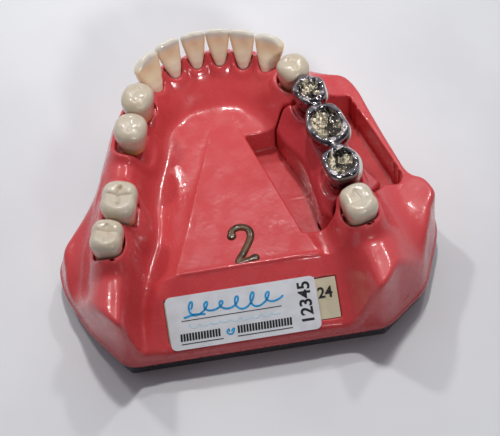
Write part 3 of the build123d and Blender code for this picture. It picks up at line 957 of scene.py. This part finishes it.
@dataclass
class Relief:
    """Heights of the gum surface over the plan, in millimetres."""

    plateau: float = PLATEAU
    front_gum: float = 22.5
    back_gum: float = 24.5
    ridge_y: float = -56.0
    rear_slope: float = REAR_SLOPE
    left_edge: float = 14.5
    right_edge: float = 18.0
    ridge_line: list[Point2] = field(default_factory=lambda: [
        (0, -0.9), (8.3, -2.7), (14, -6.8), (18.3, -14), (21.2, -21.8), (23.9, -30.8),
        (25.6, -41.4), (28, -51), (30.5, -72)])
    left_groove: list[Point2] = field(default_factory=lambda: [
        (-15.5, -18), (-18.8, -33), (-20.6, -42), (-23, -51), (-25.4, -60), (-27.8, -73)])
    right_groove: list[Point2] = field(default_factory=lambda: [
        (21.5, -50), (24.8, -61), (28.6, -73)])
    flap_line: list[Point2] = field(default_factory=lambda: [
        (-28.9, -28.8), (-31, -34.2), (-33, -41.3), (-34.8, -48.5)])
    swell: Ripple = Ripple(seed=5, length=22.0)
    dents: Ripple = Ripple(seed=31, length=6.5)

    def middle(self, x: Array, y: Array) -> Array:
        """Plateau, its rear slope and the grooves beside it."""
        over = self.ridge_y - y
        drop = np.maximum(0.0, over) * np.tan(self.rear_slope)
        beside = ease((np.abs(x + 0.2) - 19.5) / 7.0)
        height = self.plateau - drop * (1 - 0.3 * beside)
        height = height + 0.42 * bell((over + 0.3) / 0.5) * ease((17.0 - np.abs(x - 1.4)) / 2)
        beyond = np.maximum(0.0, np.abs(x - 1.0) - 0.36 * np.maximum(0.0, -10.0 - y))
        flat = ease((y - self.ridge_y + 5) / 6)
        dip = 0.65 * (1 - np.exp(-beyond / 1.6)) * bell(beyond / 8)
        height = height - flat * (dip * ease((-y - 11) / 14) + 0.06 * beyond)
        for line, inward in ((self.left_groove, 1), (self.right_groove, -1)):
            gap, side, along = to_line(x, y, smooth_line(line, 4))
            rear = ease((along - 26) / 18)
            wide = np.where(side * inward > 0, 5.6 - 3.2 * rear, 1.8 - 0.5 * rear)
            depth = 3.0 * ease((along + 6) / 30) + 3.8 * rear
            height = height - depth * bell(gap / wide)
        return height

    def edge(self, x: Array, y: Array) -> Array:
        """Outer edge of the casting, which dips at both rear corners."""
        height = self.left_edge + (self.right_edge - self.left_edge) * ease(0.5 + x / 60)
        height = height - 4.5 * ease((y + 9) / 8)
        height = height - 6 * np.exp(-((x + 38) / 8) ** 2 - ((y + 58) / 10) ** 2)
        return height - 7 * np.exp(-((x - 41) / 7) ** 2 - ((y + 66) / 8) ** 2)

    def gum(self, x: Array, y: Array) -> Array:
        """Horseshoe ridge with the middle inside it and the cheek side outside."""
        gap, side, along = to_line(np.abs(x), y, smooth_line(self.ridge_line, 4))
        crest = self.front_gum + (self.back_gum - self.front_gum) * ease((along - 12) / 10)
        left, front = ease(-x / 8), ease((y + 16) / 10)
        reach = (6.2 - 1.4 * left) * (1 - front) + 7.4 * front
        reach = reach - 0.9 * ease((-y - 54) / 10)
        fall = (3.0 - 0.3 * left) * (1 - front) + 1.7 * front
        inner = self.middle(x, y)
        inner = inner + (crest - inner) * np.exp(-(gap / reach) ** fall)
        outer = self.edge(x, y)
        wide = 7.2 + 1.8 * ease((-y - 50) / 12)
        outer = outer + (crest - outer) * np.exp(-(gap / wide) ** 2.6)
        flap, _, _ = to_line(x, y, self.flap_line)
        height = np.where(side > 0, outer, inner) + 0.06 * self.swell.at(x, y)
        height = height + 0.045 * self.dents.at(x, y)
        return height + 0.4 * bell(flap / 0.5)


@dataclass
class JawCasting:
    """The cast jaw: relief, outline, pit, label pocket and sockets."""

    relief: Relief
    tooth_set: ToothSet
    step: float = 0.36
    rim_bottom: float = 5.0
    rim_height: float = 1.0
    rim_proud: float = 0.3
    lip: float = 1.3
    pit_floor: float = PIT_FLOOR
    socket_gap: float = 0.12
    loose_gap: float = 0.45
    label_size: tuple[float, float, float] = (39.4, 9.6, 1.4)
    label_middle: tuple[float, float] = (0.5, 10.1)
    ribs: tuple[Point2, ...] = ((32.3, -16.4), (33.0, -18.6), (38.6, -35.0), (39.3, -37.2))
    notch: tuple[float, float, float] = (35.7, -67.1, 9.6)
    outline: list[Point2] = field(default_factory=lambda: [
        (0, 5.5), (10, 4.5), (18.5, 0.5), (26, -6), (31.5, -7.5), (34.2, -12), (37, -23.5),
        (41.3, -38.5), (44.8, -40), (46.8, -44.5), (46.4, -49), (40.9, -63), (30.5, -71.2),
        (-29.5, -71.2), (-37.3, -60.3), (-41.8, -49.5), (-42.4, -42), (-33.5, -30),
        (-30.5, -21), (-27.5, -12), (-19, -0.5), (-10, 4.5)])
    pit: list[Point2] = field(default_factory=lambda: [
        (5.5, -20.8), (12.5, -20.4), (15.3, -17.2), (17, -18.4), (23.2, -15.7), (31.6, -14.6),
        (39.8, -38.9), (38.6, -41.3), (35.2, -41.3), (31, -46.1), (23, -46.3), (22.2, -49.4),
        (14.6, -49.6)])

    def top(self, x: Array, y: Array) -> Array:
        """Gum height with a raised collar round each neck."""
        height = self.relief.gum(x, y)
        collar = np.zeros_like(height)
        for tooth, centre in self.places:
            gap = tooth.neck(centre, x, y)
            loose = tooth.node == LOOSE_TOOTH
            rise, away, wide = (1.3, 1.5, 0.9) if loose else (0.6, 0.9, 0.8)
            if tooth.kind is ToothKind.MOLAR:
                rise, away, wide = 2.8, 0.9, 1.5
            collar = np.maximum(collar, rise * bell((gap - away) / wide))
        height = height + collar
        for (a, ca), (b, cb) in zip(self.places, self.places[1:]):
            if a.front and b.front:
                mx, my = (ca[0] + cb[0]) / 2, (ca[1] + cb[1]) / 2
                height = height + 2.2 * bell(np.hypot(x - mx, y - my + 0.5) / 1.25)
        return height

    def solid(self, x: Array, y: Array, z: Array) -> Array:
        """Distance to the casting."""
        wall = inside_outline(x, y, self.rounded_outline)
        wall = wall + self.rim_proud * ease((z - self.rim_bottom - self.rim_height) / 0.5)
        lean = 0.22 * ease((-x - 12) / 8) * ease((y + 54) / 8)
        lean = lean + 0.13 * ease((x - 28) / 6) * ease((-y - 44) / 5)
        wall = wall + lean * np.maximum(0.0, z - self.rim_bottom - self.rim_height)
        body = soft_max(above(self.top, x, y, z), wall, self.lip)
        body = soft_max(body, self.rim_bottom - z, 0.4)
        seam = np.maximum(np.abs(y + 35.4 - 0.07 * (x - 16)) - 0.15, np.abs(x - 16.2) - 3.2)
        floor = self.pit_floor + 0.07 * ease(0.5 - seam / 0.2)
        ribs = np.minimum.reduce([np.hypot(x - rx, y - ry) - 0.35 for rx, ry in self.ribs])
        pit = soft_max(np.maximum(inside_outline(x, y, self.rounded_pit), -ribs), floor - z, 0.6)
        body = soft_max(body, -pit, 0.5)
        body = soft_max(body, -self.label_pocket(x, y, z), 0.25)
        nx, ny, nz = self.notch
        along = (x - nx) * 0.785 + (y - ny) * 0.619
        inward = (y - ny) * 0.785 - (x - nx) * 0.619
        slot = np.maximum(np.maximum(np.abs(along) - 1.1, np.abs(inward) - 0.9),
                          np.abs(z - nz) - 0.4)
        body = np.maximum(body, -slot)
        for tooth, centre in self.places:
            gap = self.loose_gap if tooth.node == LOOSE_TOOTH else self.socket_gap
            hole = np.maximum(tooth.neck(centre, x, y) - gap, tooth.gum - 3.0 - z)
            body = soft_max(body, -hole, 0.35)
        return body

    def label_pocket(self, x: Array, y: Array, z: Array) -> Array:
        """Distance to the pocket for the name plate on the rear slope."""
        a = self.relief.rear_slope
        width, height, depth = self.label_size
        middle_x, down = self.label_middle
        dy, dz = y - self.relief.ridge_y, z - self.relief.plateau
        along = -dy * cos(a) - dz * sin(a) - down
        lift = dz * cos(a) - dy * sin(a)
        return np.maximum(np.maximum(np.abs(x - middle_x) - width / 2,
                                     np.abs(along) - height / 2), -lift - depth)

    def build(self, arch: Arch, finishes: Finishes) -> bpy.types.Object:
        """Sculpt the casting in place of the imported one.

        Args:
            arch: Where the arch stands.
            finishes: Every finish.

        Returns:
            The casting.
        """
        self.places = [(t, arch.centre(t.node)) for t in self.tooth_set.teeth]
        self.places.sort(key=lambda place: place[1][0])
        self.rounded_outline = rounded(self.outline, 3.0)
        self.rounded_pit = rounded(self.pit, 0.8, 2)
        xs, ys = [p[0] for p in self.outline], [p[1] for p in self.outline]
        clay = Clay((min(xs), min(ys), self.rim_bottom), (max(xs), max(ys), GUM_CEILING), self.step)
        return arch.sculpt("jaw_casting", clay, self.solid, Body.JAW, "jaw_base",
                           finishes.gum)


@dataclass
class LiftBlock:
    """The block that stands in the pit and carries the bridge."""

    relief: Relief
    step: float = 0.26
    floor: float = PIT_FLOOR
    seam: float = 0.08
    units: list[Tooth] = field(default_factory=list)
    spots: dict[str, Point2] = field(default_factory=dict)
    lingual: list[Point2] = field(default_factory=lambda: [
        (12.9, -20.8), (14.2, -24.8), (17.2, -31.5), (18.4, -38.6), (19.4, -45.5), (21.7, -49)])
    rear: list[Point2] = field(default_factory=lambda: [(22.6, -45.9), (30.8, -45.7)])
    buccal: list[Point2] = field(default_factory=lambda: [
        (34.4, -41), (31.6, -38), (29, -32), (27.6, -26), (26.2, -20), (25, -16)])
    front: list[Point2] = field(default_factory=lambda: [(23.4, -16), (17, -18.8), (15.3, -17.7)])

    def top(self, x: Array, y: Array) -> Array:
        """Gum height with a collar round each stump and a saddle under the pontic."""
        height = self.relief.gum(x, y)
        for unit, centre in self.places:
            gap = unit.neck(centre, x, y)
            if "pontic" in unit.node:
                height = height + 0.3 * bell((gap + 1.0) / 1.6) - 0.5 * bell((gap + 4.0) / 3.0)
            else:
                height = height + 0.5 * bell((gap - 1.0) / 0.7) - 0.9 * bell((gap + 0.1) / 0.5)
        return height

    def solid(self, x: Array, y: Array, z: Array) -> Array:
        """Distance to the block."""
        wall = inside_outline(x, y, self.outline) + self.seam
        body = soft_max(above(self.top, x, y, z), wall, 0.9)
        return soft_max(body, self.floor + 0.02 - z, 0.2)

    def build(self, arch: Arch, finishes: Finishes) -> bpy.types.Object:
        """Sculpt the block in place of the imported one."""
        self.outline = rounded(smooth_line(self.lingual) + self.rear + smooth_line(self.buccal)
                               + self.front, 1.6, 3)
        self.places = [(unit, self.spots[unit.node]) for unit in self.units]
        xs, ys = [p[0] for p in self.outline], [p[1] for p in self.outline]
        clay = Clay((min(xs), min(ys), self.floor), (max(xs), max(ys), GUM_CEILING), self.step)
        return arch.sculpt("lift_block", clay, self.solid, Body.BLOCK, "bridge_block",
                           finishes.block_gum)


# ---------------------------------------------------------------- bridge

def bridge_places(arch: Arch) -> dict[str, Point2]:
    """Plan centre of each bridge unit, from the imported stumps.

    Args:
        arch: Where the arch stands.

    Returns:
        Centre of each unit by name.
    """
    first, last = (np.array(arch.centre(n)) for n in ("premolar_stump", "molar_stump"))
    middle = first + 0.488 * (last - first) + np.array([0.44, 0.07])
    forward = np.array([0.0, 0.5])
    return {"premolar": tuple(first + forward), "pontic": tuple(middle + forward),
            "molar": tuple(last + forward)}


@dataclass
class Bridge:
    """Three metal units in one casting, each with a facing on its cheek side."""

    units: list[Tooth]
    spots: dict[str, Point2]
    step: float = 0.15
    facing_depth: float = 0.75
    facing_lean: float = 0.21
    facing_width: float = 0.86
    table_floor: float = 29.0
    reach: float = 7.0
    bottom: float = 24.9
    ceiling: float = 31.2
    crumple: Ripple = Ripple(seed=11, length=1.7)
    ridges: Ripple = Ripple(seed=23, length=4.2)

    def unit(self, unit: Tooth, x: Array, y: Array, z: Array) -> Array:
        """Distance to one unit, with a raised smooth rim round its rough table."""
        u, v = unit.local(self.spots[unit.node], x, y)
        low = unit.gum + 0.8
        t = np.clip((z - low) / (unit.bite - low), 0, 1)
        grow = np.interp(t, [0, 0.25, 0.55, 0.8, 1.0], [0.82, 0.9, 0.99, 1.0, 0.97])
        side = unit.ring(u, v, unit.width / 2 * grow, unit.depth / 2 * grow, 2.3)
        lobes = np.cos(np.arctan2(v / unit.depth, u / unit.width) * 5 + unit.turn)
        side = side - 0.17 * lobes * ease((z - 27) / 3)
        rim = unit.bite + 0.1 - 0.3 * ease(0.5 - lobes / 2)
        dish = ease((-side - 0.55 - 0.5 * ease(0.5 + lobes / 2)) / 1.1)
        cups = unit.table(u, v) - 0.9
        rough = 0.07 * self.crumple.at(u, v) + 0.34 * self.ridges.at(v, u)
        cups = np.maximum(np.minimum(cups, rim - 0.3) + rough, self.table_floor)
        top = (z - rim - (cups - rim) * dish) * 0.7
        return soft_max(soft_max(side, top, 0.9), low - z, 0.5)

    def facing_cut(self, unit: Tooth, x: Array, y: Array, z: Array) -> Array:
        """Distance to the space of the facing, negative inside it."""
        u, v = unit.local(self.spots[unit.node], x, y)
        deep = self.facing_depth + (0.7 if unit.node == "molar" else 0.0)
        plane = unit.depth / 2 - deep - self.facing_lean * (unit.bite - z)
        plane = plane + 1.2 * ease((z - 29.2) / 1.2)
        return soft_max(plane - v, np.abs(u) - unit.width * self.facing_width / 2, 0.4)

    def framework(self, x: Array, y: Array, z: Array) -> Array:
        """Distance to the metal casting."""
        whole = None
        for unit in self.units:
            part = soft_max(self.unit(unit, x, y, z), -self.facing_cut(unit, x, y, z) + 0.03, 0.12)
            whole = part if whole is None else soft_min(whole, part, 0.5)
        spots = [self.spots[unit.node] for unit in self.units]
        for (ax, ay), (bx, by) in zip(spots, spots[1:]):
            gap, _, _ = to_line(x, y, [(ax * 0.65 + bx * 0.35, ay * 0.65 + by * 0.35),
                                       (ax * 0.35 + bx * 0.65, ay * 0.35 + by * 0.65)])
            bar = np.hypot(gap, (z - 28.4) * 0.8) - 1.35
            whole = soft_min(whole, bar, 0.5)
        return whole

    def facing(self, unit: Tooth) -> Field:
        """Solid of one facing."""
        def solid(x: Array, y: Array, z: Array) -> Array:
            """Distance to the facing."""
            proud = 0.55 if unit.node == "molar" else 0.35
            skin = self.unit(unit, x, y, z) - proud * ease((30.4 - z) / 1.6)
            return soft_max(skin, self.facing_cut(unit, x, y, z) + 0.02, 0.3)
        return solid

    def mark_table(self, obj: bpy.types.Object, points: Array) -> None:
        """Store where the rough chewing table lies, for the metal finish."""
        x, y, z = points.T
        mask = np.zeros(len(points))
        for unit in self.units:
            u, v = unit.local(self.spots[unit.node], x, y)
            rim = unit.ring(u, v, unit.width / 2 * 0.97, unit.depth / 2 * 0.97, 2.5)
            mask = np.maximum(mask, ease((-rim - 1.0) / 0.6) * ease((z - 27.4) / 0.8))
        layer = obj.data.attributes.new("table", "FLOAT", "POINT")
        layer.data.foreach_set("value", mask.astype(np.float32))

    def build(self, arch: Arch, finishes: Finishes) -> list[bpy.types.Object]:
        """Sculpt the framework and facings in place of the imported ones."""
        spots = np.array([self.spots[unit.node] for unit in self.units])
        low, high = spots.min(0) - self.reach, spots.max(0) + self.reach
        clay = Clay((low[0], low[1], self.bottom), (high[0], high[1], self.ceiling), self.step)
        points, faces = clay.skin(self.framework)
        metal = arch.piece("bridge_metal_casting", points, faces, Body.BRIDGE)
        self.mark_table(metal, points)
        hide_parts("bridge_framework")
        finishes.chrome.dress(metal)
        made = [metal]
        for unit in self.units:
            x, y = self.spots[unit.node]
            small = Clay((x - self.reach, y - self.reach, self.bottom),
                         (x + self.reach, y + self.reach, self.ceiling), self.step)
            made.append(arch.sculpt(unit.node + "_facing_skin", small, self.facing(unit),
                                    Body.BRIDGE, unit.node + "_facing",
                                    finishes.facing))
        return made


# ---------------------------------------------------------------- stage

@dataclass
class Studio:
    """Floor, soft light and the camera."""

    aim: tuple[float, float, float] = (0.546, -19.62, 31.0)
    azimuth: float = -4.15
    elevation: float = 58.0
    roll: float = -5.33
    distance: float = 395.93
    lens: float = 129.6

    def camera(self) -> None:
        """Place the camera."""
        a, e, r = radians(self.azimuth), radians(self.elevation), radians(self.roll)
        back = Vector((sin(a) * cos(e), -cos(a) * cos(e), sin(e)))
        right = (-back).cross(Vector((0, 0, 1))).normalized()
        up = right.cross(-back)
        across, upright = right * cos(r) + up * sin(r), up * cos(r) - right * sin(r)
        data = bpy.data.cameras.new("camera")
        data.lens = self.lens
        data.sensor_width = 36.0
        data.clip_start = 0.01
        data.clip_end = 20.0
        obj = stand("camera", data)
        turn = Matrix((across, upright, back)).transposed().to_4x4()
        obj.matrix_world = Matrix.Translation((Vector(self.aim) + back * self.distance) * MM) @ turn
        bpy.context.scene.camera = obj

    def lamp(self, name: str, spot: tuple, size: float, power: float, tone: tuple) -> None:
        """Add a square soft lamp that faces the model.

        Args:
            name: Lamp name.
            spot: Its place in metres.
            size: Side in metres.
            power: Watts.
            tone: Light colour.
        """
        data = bpy.data.lights.new(name, "AREA")
        data.size, data.energy, data.color = size, power, tone
        obj = stand(name, data)
        obj.location = spot
        obj.rotation_euler = (-Vector(spot)).to_track_quat("-Z", "Y").to_euler()

    def light(self) -> None:
        """Surroundings that darken behind the camera, a high key, two side lamps and a fill."""
        world = bpy.data.worlds.new("surroundings")
        world.use_nodes = True
        g = Graph(world.node_tree)
        split = g.add("SeparateXYZ", {"Vector": g.add("TexCoord").outputs["Generated"]})
        share = g.span(split.outputs["Y"], -0.5, 0.7)
        shade = world.node_tree.nodes["Background"]
        tone = g.mix(share, (0.06, 0.06, 0.07, 1), (0.52, 0.55, 0.6, 1))
        world.node_tree.links.new(tone, shade.inputs["Color"])
        bpy.context.scene.world = world
        warm = (1.0, 0.98, 0.95)
        self.lamp("key", self.spot(12, 74, 0.8), 0.05, 2.2, warm)
        self.lamp("left", self.spot(-32, 54, 0.8), 0.05, 1.15, warm)
        self.lamp("right", self.spot(36, 55, 0.8), 0.05, 0.85, warm)
        self.fill(self.spot(160, 42, 0.52), 4.6)

    def fill(self, spot: tuple, power: float) -> None:
        """Add a narrow lamp on the camera side that fills the front bowl and teeth.

        Args:
            spot: Its place in metres.
            power: Watts.
        """
        data = bpy.data.lights.new("fill", "SPOT")
        data.energy, data.shadow_soft_size = power, 0.04
        data.spot_size, data.spot_blend = radians(13), 1.0
        obj = stand("fill", data)
        obj.location = spot
        aim = Vector((-0.001, 0.038, 0.022)) - Vector(spot)
        obj.rotation_euler = aim.to_track_quat("-Z", "Y").to_euler()

    @staticmethod
    def spot(turn: float, rise: float, away: float) -> tuple[float, float, float]:
        """Place of a lamp from its turn off the front, its rise in degrees and its distance."""
        a, e = radians(turn), radians(rise)
        return away * cos(e) * sin(a), away * cos(e) * cos(a), away * sin(e)

    def floor(self) -> None:
        """Plain pale table top."""
        mesh = bpy.data.meshes.new("floor")
        side = 1.5
        mesh.from_pydata([(-side, -side, 0), (side, -side, 0), (side, side, 0), (-side, side, 0)],
                         [], [(0, 1, 2, 3)])
        obj = stand("floor", mesh)
        obj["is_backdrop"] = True
        made = Finish("table_top", roughness=0.75, ior=1.3)
        g = made.graph
        share = g.span(g.noise(made.where(), 0.02, 3.0), 0.35, 0.65)
        made.colour(g.mix(share, linear(230, 231, 234), linear(223, 224, 228)))
        made.dress(obj)

    def build(self) -> None:
        """Set up the whole stage."""
        self.camera()
        self.light()
        self.floor()
        bpy.context.scene.view_settings.view_transform = "Standard"


# ---------------------------------------------------------------- label and plain nodes

@dataclass
class NumberInlay:
    """Raised enamel figure with a round stroke, set into the plateau."""

    plateau: float = PLATEAU
    rise: float = 0.48
    stroke: float = 1.75
    step: float = 0.13
    figure: list[Point2] = field(default_factory=lambda: [
        (-2.2, 2.6), (-2.0, 3.8), (-0.9, 4.6), (0.5, 4.6), (1.7, 3.9), (2.1, 2.6),
        (1.7, 0.9), (0.0, -2.0), (-1.6, -4.5), (0.4, -4.4), (2.2, -4.0)])

    def build(self, arch: Arch, finishes: Finishes) -> bpy.types.Object:
        """Sculpt the figure on the plateau, sunk a little into it."""
        centre = np.array(arch.centre("number_inlay"))
        path = smooth_line([tuple(centre + p) for p in self.figure], 4)
        ends = [np.array(path[0]), np.array(path[-1])]

        def solid(x: Array, y: Array, z: Array) -> Array:
            """Distance to the figure."""
            gap, _, _ = to_line(x, y, path)
            knob = np.minimum(*(np.hypot(x - e[0], y - e[1]) for e in ends)) - 0.2
            gap = soft_min(gap, knob, 0.3)
            dome = np.hypot(gap / (self.stroke / 2), np.maximum(z - self.plateau, 0) / self.rise)
            return soft_max((dome - 1) * self.rise, self.plateau - 0.5 - z, 0.1)
        reach = np.array([3.6, 5.2])
        low, high = centre - reach, centre + reach
        clay = Clay((low[0], low[1], self.plateau - 0.6), (high[0], high[1], self.plateau + 0.6),
                    self.step)
        return arch.sculpt("number_figure", clay, solid, Body.JAW, "number_inlay",
                           finishes.brown)


@dataclass
class StickerPrint:
    """Generic marks printed on the sticker and on the name plate."""

    thickness: float = 0.03
    slope: float = REAR_SLOPE

    def plane(self, node: str, above: float) -> Matrix:
        """Place and tilt of the upper face of a flat piece on the rear slope."""
        low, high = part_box(node)
        tilt = Matrix.Rotation(self.slope, 4, "X")
        return Matrix.Translation((low + high) / 2) @ tilt @ Matrix.Translation((0, 0, above * MM))

    def stroke(self, name: str, plane: Matrix, lines: list[list[Point2]], width: float,
               finish: Finish, slot: str) -> None:
        """Print lines of even width.

        Args:
            name: Piece name.
            plane: Face that they lie on.
            lines: Points of each line in millimetres.
            width: Width of the lines.
            finish: Ink.
            slot: Material slot name; not used.
        """
        points, faces = [], []
        for line in lines:
            path = np.array(line, float)
            run = np.gradient(path, axis=0)
            across = np.stack([-run[:, 1], run[:, 0]], 1)
            across = across / np.linalg.norm(across, axis=1)[:, None] * width / 2
            first = len(points)
            for spot, off in zip(path, across):
                for lift in (0.0, self.thickness):
                    points += [(*(spot - off), lift), (*(spot + off), lift)]
            for k in range(len(path) - 1):
                a, b = first + 4 * k, first + 4 * k + 4
                faces += [(a, a + 1, b + 1, b), (a + 2, b + 2, b + 3, a + 3),
                          (a, b, b + 2, a + 2), (a + 1, a + 3, b + 3, b + 1)]
            last = first + 4 * (len(path) - 1)
            faces += [(first, first + 2, first + 3, first + 1),
                      (last, last + 1, last + 3, last + 2)]
        mesh = bpy.data.meshes.new(name)
        mesh.from_pydata([tuple(plane @ (Vector(p) * MM)) for p in points], [], faces)
        self.place(name, mesh, finish, slot)

    @staticmethod
    def place(name: str, mesh: bpy.types.Mesh, finish: Finish, slot: str) -> None:
        """Put a printed mesh on the jaw."""
        obj = stand(name, mesh)
        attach(obj, Body.JAW.value)
        finish.dress(obj)

    def digits(self, name: str, plane: Matrix, text: str, size: float, spot: Point2,
               turn: float, finish: Finish, slot: str) -> None:
        """Print plain digits.

        Args:
            name: Piece name.
            plane: Face that they lie on.
            text: The digits.
            size: Type size in millimetres.
            spot: Where the line starts.
            turn: Turn of the line in degrees.
            finish: Ink.
            slot: Material slot name; not used.
        """
        curve = bpy.data.curves.new(name, "FONT")
        curve.body, curve.size, curve.offset = text, size * MM, 0.09 * MM
        curve.extrude = self.thickness * MM / 2
        source = bpy.data.objects.new(name + "_source", curve)
        mesh = bpy.data.meshes.new_from_object(source)
        bpy.data.objects.remove(source)
        mesh.transform(plane @ Matrix.Translation(Vector((*spot, self.thickness / 2)) * MM)
                       @ Matrix.Rotation(radians(turn), 4, "Z"))
        self.place(name, mesh, finish, slot)

    @staticmethod
    def wave(start: Point2, length: float, height: float, turns: float,
             lean: float = 0.0) -> list[Point2]:
        """Points of a looping pen flourish."""
        t = np.linspace(0, 1, int(turns * 36))
        x = start[0] + length * t + lean * np.cos(2 * pi * turns * t)
        y = start[1] + height / 2 * np.sin(2 * pi * turns * t) * (0.75 + 0.25 * np.cos(9 * t))
        x = x + 0.3 * (y - start[1])
        return list(zip(x, y))

    def build(self, finishes: Finishes) -> None:
        """Print each mark."""
        face = self.plane("sticker", 0.09)
        print_on = "white_paper"
        tail = [(-13.4, 1.0), (-11.0, 1.5), (-8.4, 1.2)]
        self.stroke("sticker_flourish", face, [self.wave((-12.6, 2.7), 21.0, 3.4, 6.0, 1.1), tail],
                    0.46, finishes.blue_ink, print_on)
        self.stroke("sticker_rule", face, [[(-14, 0.35), (8.8, 0.35)]], 0.18,
                    finishes.black_ink, print_on)
        self.stroke("sticker_pale_marks", face, [self.wave((-13, -1.1), 21.0, 0.9, 9.0, 0.3)],
                    0.16, finishes.pale_ink, print_on)
        bars = [[(x, -4.2), (x + 0.12, -2.5)] for x in np.arange(-14.6, -5.6, 0.66)]
        bars += [[(x, -4.2), (x + 0.12, -2.5)] for x in np.arange(-1.6, 10.4, 0.66)]
        self.stroke("sticker_bars", face, bars, 0.48, finishes.black_ink, print_on)
        self.stroke("sticker_underlines", face, [[(-14.7, -4.85), (-5.2, -4.85)],
                                                 [(-2.0, -4.85), (10.6, -4.85)]], 0.2,
                    finishes.black_ink, print_on)
        self.stroke("sticker_blue_mark", face, [self.wave((-4.3, -3.6), 1.7, 1.5, 1.5, 0.5)],
                    0.36, finishes.blue_ink, print_on)
        self.digits("sticker_digits", face, "12345", 3.9, (15.6, -4.6), 90,
                    finishes.black_ink, print_on)
        card = self.plane("label_plate", 0.53)
        self.digits("label_digits", card, "24", 3.4, (15.1, 0.2), 0,
                    finishes.black_ink, "cream_card")


def dress_packed(finishes: Finishes) -> None:
    """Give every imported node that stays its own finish."""
    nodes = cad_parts
    for finish, names in (
            (finishes.plate, ["base_plate"]),
            (finishes.steel, ["base_screws", "tooth_screws", "block_dowels", "keeper_disc"]),
            (finishes.brass, ["thread_inserts", "dowel_bushes"]),
            (finishes.nickel, ["block_magnet"]),
            (finishes.card, ["label_plate"]),
            (finishes.sheet, ["sticker"]),
            (finishes.stump, ["premolar_stump", "molar_stump"])):
        finish.dress(*(nodes[name] for name in names))


def main() -> None:
    """Build the scene piece by piece."""
    logging.basicConfig(level=logging.INFO, format="%(name)s: %(message)s")
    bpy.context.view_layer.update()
    arch = Arch()
    finishes = Finishes(Effects())
    Studio().build()
    teeth = ToothSet()
    teeth.build(arch, finishes)
    relief = Relief()
    JawCasting(relief, teeth).build(arch, finishes)
    log.info("sculpted the jaw casting")
    spots = bridge_places(arch)
    units = [Tooth("premolar", ToothKind.PREMOLAR, -72, 8.0, 7.7, fissure=0.3),
             Tooth("pontic", ToothKind.MOLAR, -74, 12.0, 9.4, fissure=0.4),
             Tooth("molar", ToothKind.MOLAR, -77, 9.4, 8.4, fissure=0.35)]
    LiftBlock(relief, units=units, spots=spots).build(arch, finishes)
    Bridge(units, spots).build(arch, finishes)
    log.info("sculpted the block and bridge")
    NumberInlay().build(arch, finishes)
    StickerPrint().build(finishes)
    log.info("set the number and printed the sticker")
    dress_packed(finishes)
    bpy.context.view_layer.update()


if __name__ == "__main__":
    main()
